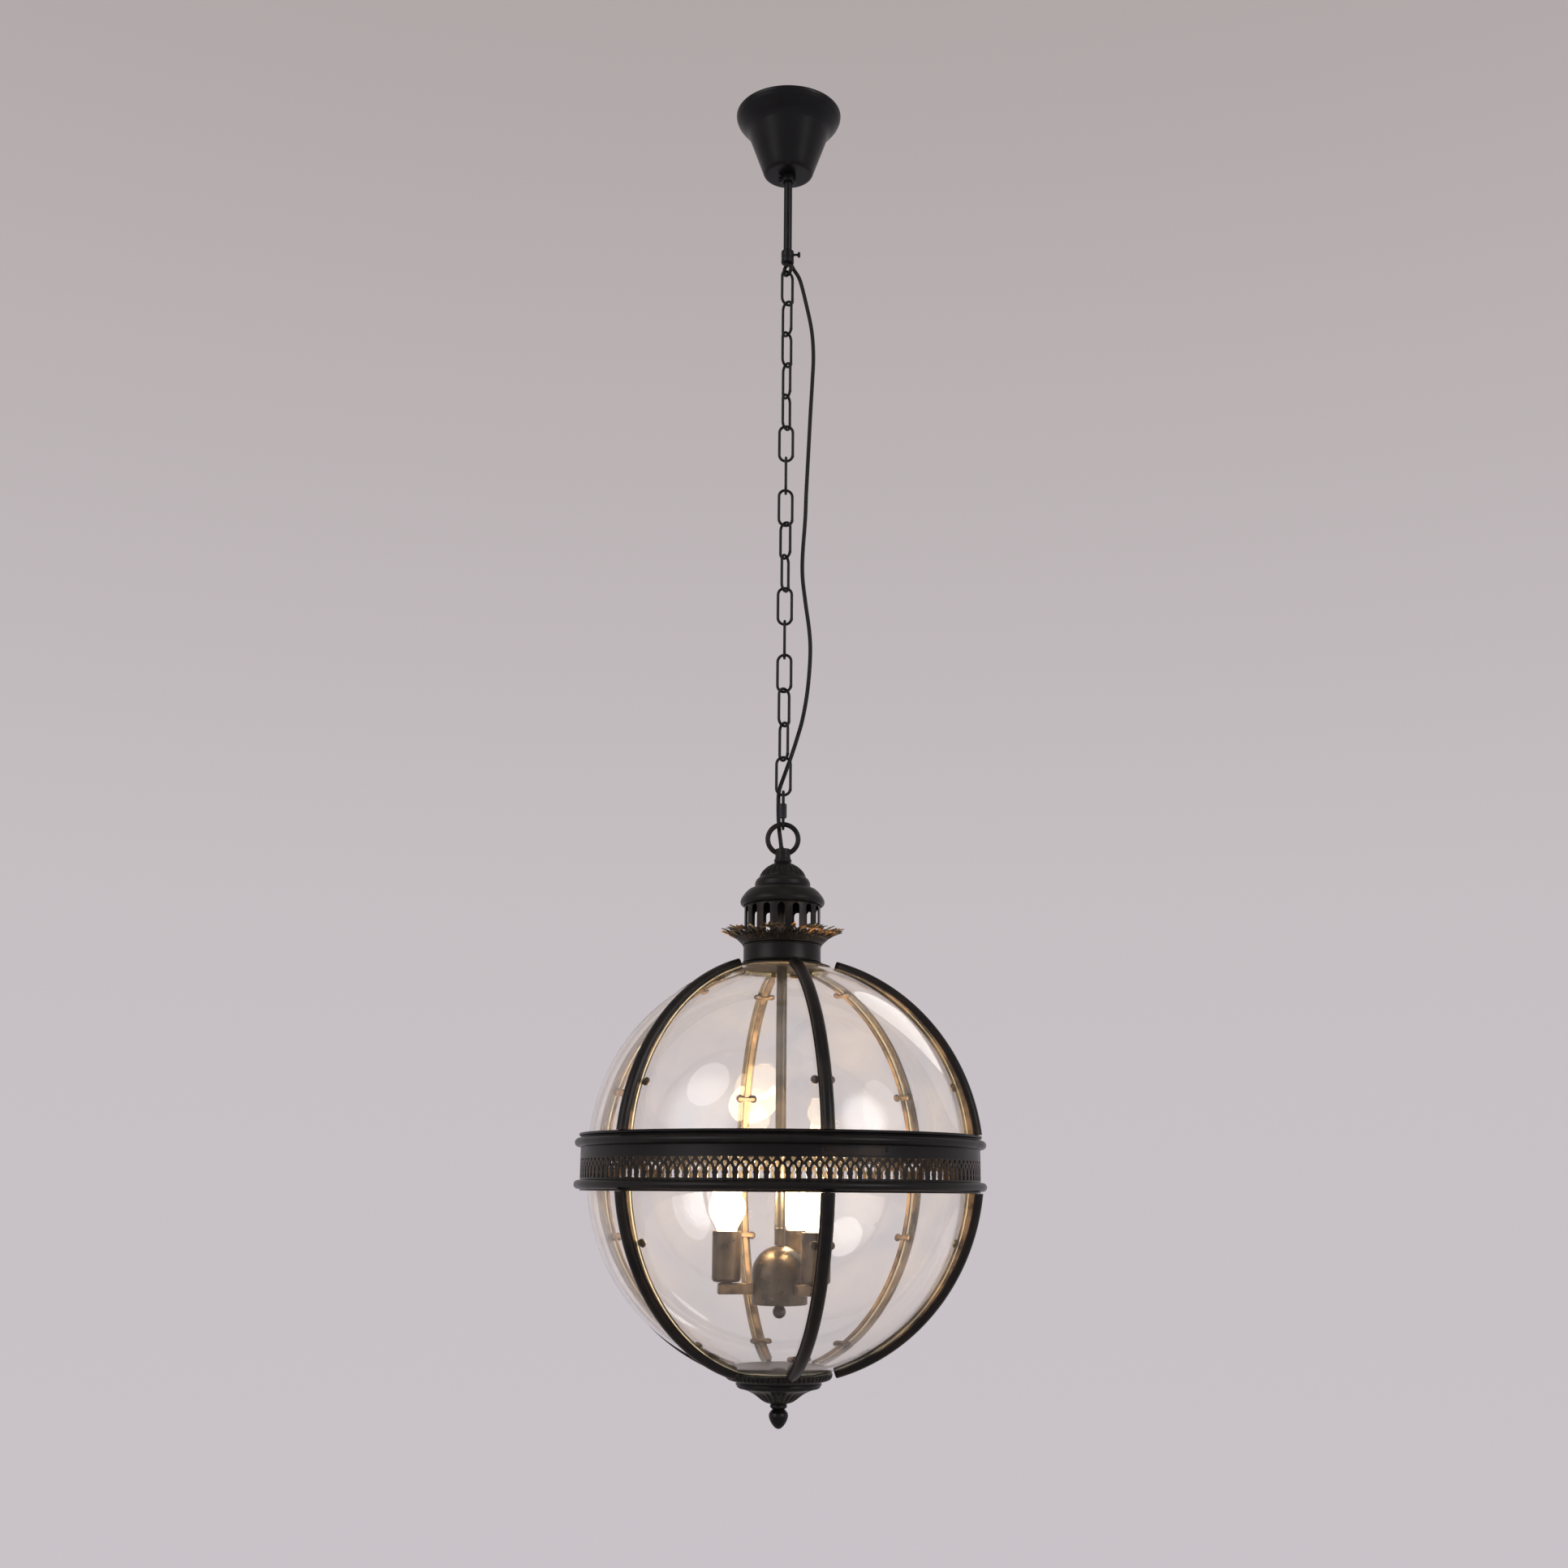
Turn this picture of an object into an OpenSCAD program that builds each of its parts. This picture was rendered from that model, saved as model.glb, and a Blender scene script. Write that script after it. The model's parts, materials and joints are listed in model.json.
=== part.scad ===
// Hanging lantern: a cone canopy, a short stem, a link chain and a glass globe in a banded cage.
// Millimetres, +Z up. The origin is the middle of the ceiling plate, in the ceiling's plane.
// The front of the lantern is -Y.

/* [Canopy] */
// Radius of the canopy where it meets the ceiling
canopy_r = 58.4; // [57:0.2:62]
// Height of the canopy
canopy_h = 75; // [72:1:80]
// Sheet thickness of the canopy
canopy_t = 1.2; // [1:0.1:1.5]

/* [Stem and loop] */
// Length of the stem from the ceiling to the loop's coupling
stem_len = 168; // [160:1:200]
// Radius of the stem
stem_r = 4.6; // [4.4:0.1:4.8]

/* [Chain] */
// Distance from one link to the next
link_pitch = 36.7; // [34:0.1:40]
// Outer width of a link
link_w = 17.4; // [16.6:0.2:18.4]
// Diameter of the link wire
link_d = 3; // [2.6:0.1:3.2]

/* [Suspension ring] */
// Outer radius of the ring
ring_r = 18; // [17.5:0.1:18.5]
// Diameter of the ring wire
ring_d = 5.1; // [4.8:0.1:5.2]

/* [Globe] */
// Outer radius of the glass
glass_r = 188; // [184:1:190]
// Thickness of the glass
glass_t = 3; // [2.4:0.1:3.2]
// Width of an outer rib
rib_w = 13; // [10:0.5:14]
// Turn of the ribs about the lantern's axis
rib_turn = 12.4; // [0:0.2:59]

/* [Band] */
// Outer radius of the band's wall
band_r = 194.6; // [194.4:0.1:195]
// How far a bead stands out of the band's wall
bead_out = 5.8; // [4:0.2:7]

/* [Lamp cluster] */
// Turn of the first arm about the lantern's axis
arm_turn = 41; // [30:1:50]
// Distance from the axis to a lamp holder
holder_at = 52; // [50:0.5:56]
// Radius of a lamp holder
holder_r = 14; // [13:0.2:14.6]
// Radius of a bulb
bulb_r = 18; // [15:0.5:20]

/* [Hidden] */
$fn = 64;

black = [0.055, 0.05, 0.048];
bronze = [0.16, 0.11, 0.075];
gold = [0.42, 0.31, 0.17];
steel = [0.35, 0.35, 0.36];
white = [0.9, 0.88, 0.84];
clear = [0.85, 0.9, 0.88, 0.35];

gap = 0.35;                 // between two hanging wires
link_r = link_d / 2;
link_bend = link_w / 2 - link_r;
link_len = link_pitch + gap + link_d;

coupling_h = 15;
coupling_r = 7;
coupling_z = -stem_len - coupling_h;
eye_bend = 6;
eye_wire = 2;
eye_turn = -52;
eye_z = coupling_z - 13.4;  // middle of the eye's lowest wire

// turn of each link about the chain's axis, from the top
link_turn = [38, -51, 50, -58, 58, 0, 90, 10, -45, 61, 0, 90, -12, 43, -55, 0];
function link_top(i) = eye_z + eye_wire + link_r + gap - i * link_pitch;
function link_foot(i) = link_top(i) - link_len;

quick_r = 1.6;
quick_bend = 7.2;
quick_top = link_foot(15) + link_r + quick_r + gap;
quick_len = 38.5;
quick_foot = quick_top - quick_len;
nut_z = quick_top - 29;     // lower end of the quick link's nut
nut_len = 15;

ring_wire = ring_d / 2;
ring_bend = ring_r - ring_wire;
ring_z = quick_foot + quick_r + ring_wire + gap - ring_bend;
neck_z = ring_z - 10.2;     // top of the lantern's neck, and zero for the lantern's own heights

upper_z = -303.7;           // middle of the upper half of the globe
lower_z = -324.2;           // middle of the lower half
upper_mouth = 40;           // radius of the glass's upper opening
lower_mouth = 46.6;         // radius of the glass's lower opening
band_top = -286;
band_foot = -340.3;
band_t = 1.4;
rib_in = glass_r - 4.8;     // inner face of a strip
rib_base = glass_r + 7;     // inner face of the moulding
rib_out = glass_r + 13.8;
rib_shift = 6.6;            // the mouldings' arcs are centred this much nearer the band
rib_foot_w = 7;             // width of the spacer under a moulding
rib_end = 57;               // radius where an outer rib ends
rib_count = 6;
pane_gap = 2.6;             // from the middle of a rib to the edge of a pane

hub_r = 27.2;
hub_top = -390.7;
hub_foot = -445.7;
hub_skirt = hub_top - hub_r - hub_foot;
arm_z = -430.7;
arm_side = 10.2;
holder_top = -377.2;
holder_foot = -424.6;
bulb_z = -355;

// route of the cable: across, back and down from the coupling's lower face
cable_r = 2.1;
cable_route = [
  [3.7, 2.9, 0], [8, 5, -6], [14, 6, -17], [21, 6, -46], [27, 6, -77], [29, 6, -107],
  [28, 6, -137], [26, 5, -177], [24, 5, -222], [22, 5, -267], [21, 5, -297], [18.5, 5, -337],
  [18.5, 5, -362], [21.5, 5, -389], [26, 5, -423], [27, 5, -449], [24.5, 7, -485],
  [19.5, 9, -516], [13.5, 11, -538], [7, 10.5, -559], [1, 8, -577], [-4.3, 5.4, -594],
  [-5, 5.2, -608], [-4.8, 5.2, -622], [-4, 5.3, -635], [-2.6, 5.3, -646], [-1.3, 5, -656.3]
];

// ---- helpers ----

module turned(points) {
  rotate_extrude() polygon(points);
}

module around(n, start = 0) {
  for (i = [0 : n - 1])
    rotate([0, 0, start + i * 360 / n])
      children();
}

// an arc in the upright plane that faces the front, measured from straight up
module arc(from, to) {
  multmatrix([[0, 0, 1, 0], [0, -1, 0, 0], [1, 0, 0, 0]])
    rotate([0, 0, from])
      rotate_extrude(angle = to - from)
        children();
}

// a closed oval of round wire with its plane along X
module oval(len, bend, wire) {
  side = len - 2 * bend;
  for (s = [-1, 1])
    translate([s * bend, 0, -side / 2])
      cylinder(r = wire, h = side);
  for (s = [0, 180])
    rotate([0, s, 0])
      translate([0, 0, side / 2])
        rotate([90, 0, 0])
          rotate_extrude(angle = 180)
            translate([bend, 0])
              circle(r = wire);
}

// ---- held by the ceiling ----

bracket_l = 100;
bracket_w = 16;
hole_apart = 70;
hole_r = 2.3;

module ceiling_bracket() {
  color(steel)
  difference() {
    translate([-bracket_l / 2, -bracket_w / 2, -2])
      cube([bracket_l, bracket_w, 2]);
    for (s = [-1, 1])
      translate([s * hole_apart / 2, 0, -3])
        cylinder(r = hole_r, h = 4);
    translate([0, 0, -3])
      cylinder(r = stem_r + 0.1, h = 4);
  }
}

module bracket_nut() {
  color(steel)
  translate([0, 0, -7])
    difference() {
      cylinder(r = 9, h = 4.9, $fn = 6);
      translate([0, 0, -1])
        cylinder(r = stem_r + 0.1, h = 8);
    }
}

module terminal_block() {
  color(white)
  translate([-31, -6, -16])
    difference() {
      cube([20, 12, 13.9]);
      for (x = [5, 15])
        translate([x, -1, 7])
          rotate([-90, 0, 0])
            cylinder(r = 2, h = 8);
    }
}

module stem_tube() {
  color(black)
  difference() {
    translate([0, 0, -stem_len - 6])
      cylinder(r = stem_r, h = stem_len + 6);
    translate([0, 0, -stem_len - 7])
      cylinder(r = stem_r - 1, h = stem_len + 8);
  }
}

module hook_loop() {
  color(black)
  union() {
    translate([0, 0, coupling_z])
      difference() {
        turned([[0, 0], [coupling_r - 0.6, 0], [coupling_r, 0.8], [coupling_r, coupling_h - 0.8],
                [coupling_r - 0.6, coupling_h], [0, coupling_h]]);
        translate([0, 0, coupling_h - 8])
          cylinder(r = stem_r + 0.05, h = 10);
        translate([4, 0, coupling_h - 4])
          rotate([0, 90, 0])
            cylinder(r = 1.6, h = 6);
      }
    translate([0, 0, eye_z + eye_bend])
      rotate([0, 0, eye_turn])
        rotate([90, 0, 0])
          rotate_extrude()
            translate([eye_bend, 0])
              circle(r = eye_wire);
    translate([0, 0, coupling_z - 1.2])
      cylinder(r = 3, h = 2);
  }
}

module hook_screw() {
  color(black)
  translate([stem_r + 0.4, 0, coupling_z + coupling_h - 4])
    rotate([0, 90, 0])
      union() {
        cylinder(r = 1.25, h = 6.5);
        translate([0, 0, 6])
          turned([[0, 0], [1.9, 0], [3.1, 1.2], [3.1, 2.4], [2.2, 3.1], [0, 3.2]]);
      }
}

// ---- canopy ----

module canopy() {
  t = canopy_t;
  color(black)
  difference() {
    turned([[0, -canopy_h], [25.4, -canopy_h], [27.2, -canopy_h + 1.6], [44.5, -24], [52, -13.5],
            [57.2, -6.5], [canopy_r, -3], [canopy_r, -0.4], [canopy_r - t, -0.4],
            [canopy_r - t, -3], [56, -6], [51, -12.8], [43.3, -23.4], [26.2, -canopy_h + 2.2],
            [25, -canopy_h + t], [0, -canopy_h + t]]);
    translate([0, 0, -canopy_h - 1])
      cylinder(r = stem_r + 0.5, h = 4);
  }
}

module canopy_collar() {
  color(black)
  translate([0, 0, -canopy_h - 9.1])
    union() {
      difference() {
        turned([[0, 0], [7.6, 0], [8.4, 0.8], [8.4, 9], [0, 9]]);
        translate([0, 0, -1])
          cylinder(r = stem_r + 0.4, h = 12);
      }
      for (z = [2.6, 6.4])
        translate([-10.6, 0, z])
          rotate([0, 90, 0])
            cylinder(r = 1.4, h = 3);
    }
}

// ---- chain ----

module link(i) {
  color(black)
  translate([0, 0, link_top(i) - link_len / 2])
    rotate([0, 0, link_turn[i]])
      oval(link_len, link_bend, link_r);
}

module quick_link() {
  color(black)
  difference() {
    translate([0, 0, quick_top - quick_len / 2])
      rotate([0, 0, 90])
        oval(quick_len, quick_bend, quick_r);
    translate([-3, -quick_bend - 3, nut_z + 1.5])
      cube([6, 6, 4.5]);
  }
}

module quick_link_nut() {
  color(steel)
  translate([0, -quick_bend, nut_z])
    difference() {
      cylinder(r = 3.6, h = nut_len, $fn = 6);
      translate([0, 0, -1])
        cylinder(r = quick_r + 0.35, h = nut_len + 2);
    }
}

// ---- cable ----

cable_drop = neck_z - coupling_z;
cable_sides = 8;
cable_n = len(cable_route);
function unit(v) = v / norm(v);
function mix(a, b, c, d, t) =
  0.5 * ((2 * b) + (c - a) * t + (2 * a - 5 * b + 4 * c - d) * t * t
         + (3 * b - a - 3 * c + d) * t * t * t);
function stop(i) = cable_route[max(0, min(cable_n - 1, i))];
function place(p) = [p[0], p[1], coupling_z + p[2] * cable_drop / cable_route[cable_n - 1][2]];
cable_line = [
  for (i = [0 : cable_n - 2], s = [0 : 2])
    place(mix(stop(i - 1), stop(i), stop(i + 1), stop(i + 2), s / 3)),
  place(stop(cable_n - 1))
];
cable_rings = len(cable_line);
function along(i) =
  i == 0 || i == cable_rings - 1 ? [0, 0, -1] : unit(cable_line[i + 1] - cable_line[i - 1]);
function across(i) = unit(cross(along(i), [0, 1, 0]));

module power_cable() {
  m = cable_sides;
  points = [
    for (i = [0 : cable_rings - 1], k = [0 : m - 1])
      let (a = 360 * k / m, u = across(i), v = cross(along(i), u))
        cable_line[i] + cable_r * (cos(a) * u + sin(a) * v)
  ];
  sides = [
    for (i = [0 : cable_rings - 2], k = [0 : m - 1])
      [i * m + k, i * m + (k + 1) % m, (i + 1) * m + (k + 1) % m, (i + 1) * m + k]
  ];
  first = [for (k = [m - 1 : -1 : 0]) k];
  last = [for (k = [0 : m - 1]) (cable_rings - 1) * m + k];
  color(black)
  polyhedron(points, concat([first], sides, [last]), convexity = 4);
}

// ---- top of the lantern ----

module hanging_ring() {
  color(black)
  translate([0, 0, ring_z])
    rotate([90, 0, 0])
      rotate_extrude()
        translate([ring_bend, 0])
          circle(r = ring_wire);
}

module dome_cap() {
  color(black)
  difference() {
    translate([0, 0, neck_z])
      turned([[0, 0], [7.4, 0], [8.1, -0.7], [8.1, -10.7], [8.9, -11.3], [8.9, -13.5],
              [8.4, -14.3], [14, -18.2], [18.5, -21.6], [21.4, -24.9], [23.5, -28.5],
              [23.5, -29.7], [25.1, -30.7], [27.2, -33.7], [28, -37.2], [28, -39.1],
              [33.7, -41.6], [37, -45], [39.8, -48.3], [41.9, -51.6], [42.6, -54.9],
              [41.5, -57.7], [39.4, -59.1], [38.9, -57.9], [40.6, -54.7], [40, -52.2],
              [38.2, -49.3], [35.5, -46.3], [32.5, -43.1], [26.4, -40.3], [26.4, -37.2],
              [25.6, -34.5], [22, -31.9], [21.9, -29.2], [19.8, -25.6], [17, -22.7],
              [13, -19.9], [0, -18.7]]);
    translate([0, 0, ring_z])
      rotate([90, 0, 0])
        rotate_extrude()
          translate([ring_bend, 0])
            circle(r = ring_wire + 0.15);
  }
}

drum_r = 38.4;
slot_count = 16;

module vent_drum() {
  color(black)
  translate([0, 0, neck_z])
    difference() {
      translate([0, 0, -98.6])
        difference() {
          cylinder(r = drum_r, h = 49.2);
          translate([0, 0, -1])
            cylinder(r = drum_r - 1.2, h = 52);
        }
      around(slot_count, 360 / slot_count / 2)
        translate([0, -drum_r + 4, -63])
          rotate([90, 0, 0])
            union() {
              cylinder(r = 3.25, h = 8);
              translate([-3.25, -25, 0])
                cube([6.5, 25, 8]);
            }
    }
}

crown_points = 12;

module crown() {
  color(gold)
  translate([0, 0, neck_z])
    difference() {
      turned([[38.6, -98.5], [40.4, -98.5], [40.9, -95], [44.5, -90], [52.4, -86.8], [63.8, -83.2],
              [63, -81.8], [51.6, -85.4], [43.3, -88.8], [39.6, -93.6], [38.6, -94]]);
      around(crown_points, 15)
        translate([0, -68.6, -100])
          cylinder(r = 11, h = 30);
    }
}

module neck_collar() {
  color(black)
  translate([0, 0, neck_z])
    turned([[37.3, -98.8], [38.8, -98.8], [39.4, -99.6], [38.8, -100.6], [38.8, -115.2],
            [39.4, -116.6], [37.3, -116.6]]);
}

module top_plate() {
  color(black)
  translate([0, 0, neck_z])
    turned([[5.4, -116.8], [38.6, -116.8], [48.5, -120.1], [48.5, -121.5], [38.6, -119.2],
            [5.4, -119.2]]);
}

// ---- globe ----

// a half-round moulding on a spacer that fits the panes, over the joint between two of them
rib_steps = 8;
rib_profile = concat(
  [[glass_r - 4, -rib_foot_w / 2], [rib_base, -rib_foot_w / 2], [rib_base, -rib_w / 2]],
  [for (i = [0 : rib_steps])
    [rib_base + 1.4 + (rib_out - rib_base - 1.4) * sin(180 * i / rib_steps),
     -rib_w / 2 * cos(180 * i / rib_steps)]],
  [[rib_base, rib_w / 2], [rib_base, rib_foot_w / 2], [glass_r - 4, rib_foot_w / 2]]
);

module ribs(stop_z) {
  from = asin(rib_end / rib_out);
  to = acos((stop_z + 0.3 + rib_shift) / rib_base);
  around(rib_count, rib_turn)
    difference() {
      translate([0, 0, -rib_shift])
        arc(from, to)
          polygon(rib_profile);
      sphere(r = glass_r + 0.3);
    }
}

// a strip that stands between two panes, under the rib
strip_w = 4.4;

module strips(mouth, edge) {
  a = strip_w / 2;
  around(rib_count, rib_turn)
    arc(asin(mouth / glass_r), acos(edge / rib_in))
      polygon([[rib_in, -a], [glass_r + 0.28, -a], [glass_r + 0.28, a], [rib_in, a]]);
}

upper_stop = band_top - upper_z;
lower_stop = lower_z - band_foot;
upper_edge = 0.1;           // where each half's glass ends, from that half's middle
lower_edge = 3.3;

module upper_ribs() {
  color(black)
  translate([0, 0, neck_z + upper_z])
    ribs(upper_stop);
}

module lower_ribs() {
  color(black)
  translate([0, 0, neck_z + lower_z])
    mirror([0, 0, 1])
      ribs(lower_stop);
}

module upper_strips() {
  color(bronze)
  translate([0, 0, neck_z + upper_z])
    strips(upper_mouth, upper_edge);
}

module lower_strips() {
  color(bronze)
  translate([0, 0, neck_z + lower_z])
    mirror([0, 0, 1])
      strips(lower_mouth, lower_edge);
}

// a half of the globe, cut into panes under the ribs
module panes(mouth, edge) {
  from = asin(mouth / glass_r);
  difference() {
    rotate_extrude()
      difference() {
        intersection() {
          circle(r = glass_r);
          translate([mouth, edge])
            square([glass_r, glass_r]);
        }
        circle(r = glass_r - glass_t);
      }
    around(rib_count, rib_turn)
      translate([-pane_gap, -glass_r - 5, -5])
        cube([2 * pane_gap, glass_r + 5, glass_r + 10]);
  }
}

module upper_glass() {
  color(clear)
  translate([0, 0, neck_z + upper_z])
    panes(upper_mouth, upper_edge);
}

module lower_glass() {
  color(clear)
  translate([0, 0, neck_z + lower_z])
    mirror([0, 0, 1])
      panes(lower_mouth, lower_edge);
}

clip_reach = 7.2;

module clip() {
  translate([-clip_reach, -2.4, 0])
    cube([2 * clip_reach, 4.8, 1.6]);
  for (s = [-1, 1])
    translate([s * clip_reach, 0, 0])
      cylinder(r = 4, h = 2.9);
}

clip_angles = [27.5, 70.5];

module clips() {
  around(rib_count, rib_turn)
    for (a = clip_angles)
      rotate([a, 0, 0])
        translate([0, 0, rib_in - 1.7])
          clip();
}

module upper_clips() {
  color(bronze)
  translate([0, 0, neck_z + upper_z])
    clips();
}

module lower_clips() {
  color(bronze)
  translate([0, 0, neck_z + lower_z])
    mirror([0, 0, 1])
      clips();
}

// ---- band ----

module band() {
  r = band_r;
  t = band_t;
  ledge = glass_r - 3.5;
  color(black)
  translate([0, 0, neck_z])
    turned([[r - t, band_top], [r + 1.2, band_top], [r + 1.8, band_top - 0.8],
            [r + 1.8, band_top - 2], [r, band_top - 3], [r, band_foot], [r - t, band_foot],
            [r - t, -327.2], [ledge, -327.2], [ledge, -326], [r - t, -326],
            [r - t, upper_z - 1.5], [ledge, upper_z - 1.5], [ledge, upper_z - 0.3],
            [r - t, upper_z - 0.3]]);
}

bead_h = 9;
bead_steps = 8;
bead_t = 1.3;

module bead(z) {
  r = band_r + 0.1;
  color(black)
  translate([0, 0, neck_z + z])
    turned(concat(
      [for (i = [0 : bead_steps])
        let (a = 180 * i / bead_steps)
          [r + bead_out * sin(a), -bead_h / 2 * cos(a)]],
      [for (i = [bead_steps : -1 : 0])
        let (a = 180 * i / bead_steps)
          [r + (bead_out - bead_t) * sin(a), -(bead_h / 2 - bead_t) * cos(a)]]));
}

module upper_bead() {
  bead(-294.8);
}

module lower_bead() {
  bead(-334.4);
}

rivet_turns = [11.6, 29];

module band_rivets() {
  color(black)
  translate([0, 0, neck_z - 303.2])
    for (a = rivet_turns)
      rotate([0, 0, a])
        translate([0, -band_r, 0])
          rotate([90, 0, 0])
            cylinder(r1 = 2, r2 = 1.2, h = 1);
}

// ---- lamp cluster ----

tube_r = 5.25;

module centre_tube() {
  color(bronze)
  translate([0, 0, neck_z])
    difference() {
      translate([0, 0, hub_top + 0.3])
        cylinder(r = tube_r, h = -hub_top - 20);
      translate([0, 0, hub_top - 1])
        cylinder(r = tube_r - 1, h = -hub_top - 17);
    }
}

module hub_dome() {
  color(bronze)
  translate([0, 0, neck_z + hub_top - hub_r])
    difference() {
      union() {
        sphere(r = hub_r);
        translate([0, 0, -hub_skirt])
          cylinder(r = hub_r, h = hub_skirt);
      }
      sphere(r = hub_r - 1.5);
      translate([0, 0, -hub_skirt + 1.5])
        cylinder(r = hub_r - 1.5, h = hub_skirt - 1.5);
      translate([0, 0, -hub_skirt - 1])
        cylinder(r = 2.4, h = 4);
    }
}

module hub_finial() {
  color(bronze)
  translate([0, 0, neck_z + hub_foot])
    union() {
      translate([0, 0, -6.4])
        sphere(r = 6.4);
      translate([0, 0, -4])
        cylinder(r = 2, h = 12);
    }
}

module lamp_arms() {
  color(bronze)
  translate([0, 0, neck_z + arm_z])
    difference() {
      around(3, arm_turn)
        translate([-arm_side / 2, -holder_at - 8, -arm_side / 2])
          cube([arm_side, holder_at + 8 - hub_r + 2, arm_side]);
      translate([0, 0, -arm_side])
        cylinder(r = hub_r, h = 2 * arm_side);
    }
}

module lamp_holders() {
  r = holder_r;
  h = holder_top - holder_foot;
  color(bronze)
  translate([0, 0, neck_z + holder_foot])
    around(3, arm_turn)
      translate([0, -holder_at, 0])
        turned([[0, -1], [6, -1], [6, 0], [r - 2.6, 0], [r - 0.8, 0.9], [r, 3], [r, h],
                [r - 1.2, h], [r - 1.2, 3.2], [r - 3, 1.6], [0, 1.6]]);
}

module lamp_sockets() {
  color(white)
  translate([0, 0, neck_z + holder_foot])
    around(3, arm_turn)
      translate([0, -holder_at, 1.7])
        difference() {
          cylinder(r = 10.6, h = 42);
          translate([0, 0, 12])
            cylinder(r = 7.4, h = 31);
        }
}

module bulb(i) {
  color(white)
  translate([0, 0, neck_z])
    rotate([0, 0, arm_turn + 120 * i])
      translate([0, -holder_at, bulb_z])
        turned(concat(
          [[0, -50], [4, -50], [6.8, -47], [6.8, -25], [9.4, -21.5]],
          [for (a = [-45 : 15 : 75]) bulb_r * [cos(a), sin(a)]],
          [[0, bulb_r]]));
}

// ---- foot of the lantern ----

module bottom_plate() {
  color(black)
  translate([0, 0, neck_z])
    union() {
      turned([[0, -506.9], [44, -506.9], [46.2, -504.6], [46.2, -503.6], [0, -503.6]]);
      translate([0, 0, -551])
        cylinder(r = 3, h = 46);
    }
}

module bottom_cup() {
  color(black)
  translate([0, 0, neck_z])
    turned([[44.2, -507], [50.2, -507], [51.4, -508.4], [51.4, -511], [50.4, -512.8],
            [48.4, -513.9], [43.2, -515.2], [41.2, -516.6], [40.2, -518.4], [39.5, -519.8],
            [37.8, -521.1], [34.6, -522.6], [31.4, -523.7], [25.3, -526.1], [20.6, -529.3],
            [16.7, -532.4], [13.4, -534.4], [10.2, -535.8], [8.2, -536.9], [8.2, -539.9],
            [6.4, -540.8], [3.1, -540.8], [3.1, -538], [5.8, -538], [6.8, -536.2],
            [9.6, -534.3], [12.6, -532.8], [16, -530.6], [20.2, -527.5], [26.4, -524.2],
            [34, -521], [36.8, -519.4], [38.2, -517.4], [39.6, -515.2], [42, -513.8],
            [44.2, -513]]);
}

module acorn_finial() {
  color(black)
  translate([0, 0, neck_z])
    difference() {
      turned([[0, -541.1], [6.4, -541.1], [8.6, -543.4], [9.3, -546.2], [8.9, -549],
              [7.4, -552.4], [5, -555.3], [2.4, -557.6], [0, -559]]);
      translate([0, 0, -551.6])
        cylinder(r = 3.05, h = 12);
    }
}

ceiling_bracket();
bracket_nut();
terminal_block();
stem_tube();
hook_loop();
hook_screw();
canopy();
canopy_collar();
link(0);  // link_01
link(1);  // link_02
link(2);  // link_03
link(3);  // link_04
link(4);  // link_05
link(5);  // link_06
link(6);  // link_07
link(7);  // link_08
link(8);  // link_09
link(9);  // link_10
link(10);  // link_11
link(11);  // link_12
link(12);  // link_13
link(13);  // link_14
link(14);  // link_15
link(15);  // link_16
quick_link();
quick_link_nut();
power_cable();
hanging_ring();
dome_cap();
vent_drum();
crown();
neck_collar();
top_plate();
centre_tube();
hub_dome();
hub_finial();
lamp_arms();
lamp_holders();
lamp_sockets();
bulb(0);  // bulb_1
bulb(1);  // bulb_2
bulb(2);  // bulb_3
band();
upper_bead();
lower_bead();
band_rivets();
upper_ribs();
lower_ribs();
upper_strips();
lower_strips();
upper_glass();
lower_glass();
upper_clips();
lower_clips();
bottom_plate();
bottom_cup();
acorn_finial();
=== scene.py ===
"""The hanging lantern's look model. Lengths are in metres, and profiles are in millimetres."""

import json
import math

import bmesh
import bpy
from mathutils import Matrix, Vector


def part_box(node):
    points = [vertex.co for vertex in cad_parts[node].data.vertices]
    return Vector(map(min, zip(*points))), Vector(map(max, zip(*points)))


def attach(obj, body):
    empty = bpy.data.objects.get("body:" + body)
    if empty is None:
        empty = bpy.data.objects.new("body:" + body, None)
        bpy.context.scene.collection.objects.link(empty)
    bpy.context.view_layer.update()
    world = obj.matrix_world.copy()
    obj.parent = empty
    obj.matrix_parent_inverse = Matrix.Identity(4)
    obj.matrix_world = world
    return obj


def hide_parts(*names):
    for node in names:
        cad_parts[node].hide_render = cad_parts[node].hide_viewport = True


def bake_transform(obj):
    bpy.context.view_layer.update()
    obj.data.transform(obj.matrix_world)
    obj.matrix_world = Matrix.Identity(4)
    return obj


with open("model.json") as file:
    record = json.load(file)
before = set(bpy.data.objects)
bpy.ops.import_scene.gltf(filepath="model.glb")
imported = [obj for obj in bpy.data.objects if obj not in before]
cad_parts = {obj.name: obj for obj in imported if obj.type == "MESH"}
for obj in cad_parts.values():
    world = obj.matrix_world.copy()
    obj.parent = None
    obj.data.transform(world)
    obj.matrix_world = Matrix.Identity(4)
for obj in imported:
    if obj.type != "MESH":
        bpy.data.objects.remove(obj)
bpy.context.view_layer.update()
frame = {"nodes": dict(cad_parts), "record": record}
record = frame["record"]
scene = bpy.context.scene
MM = 0.001
TAU = 2 * math.pi


def low(node):
    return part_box(node)[0]


def high(node):
    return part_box(node)[1]


NECK = high("dome_cap").z  # the lantern's own heights count down from here
COUPLING = high("power_cable").z  # where the cable leaves the coupling
JOINTS = {j["name"]: j for j in record["behaviour"]["joints"]}

# ---- camera ----

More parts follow.
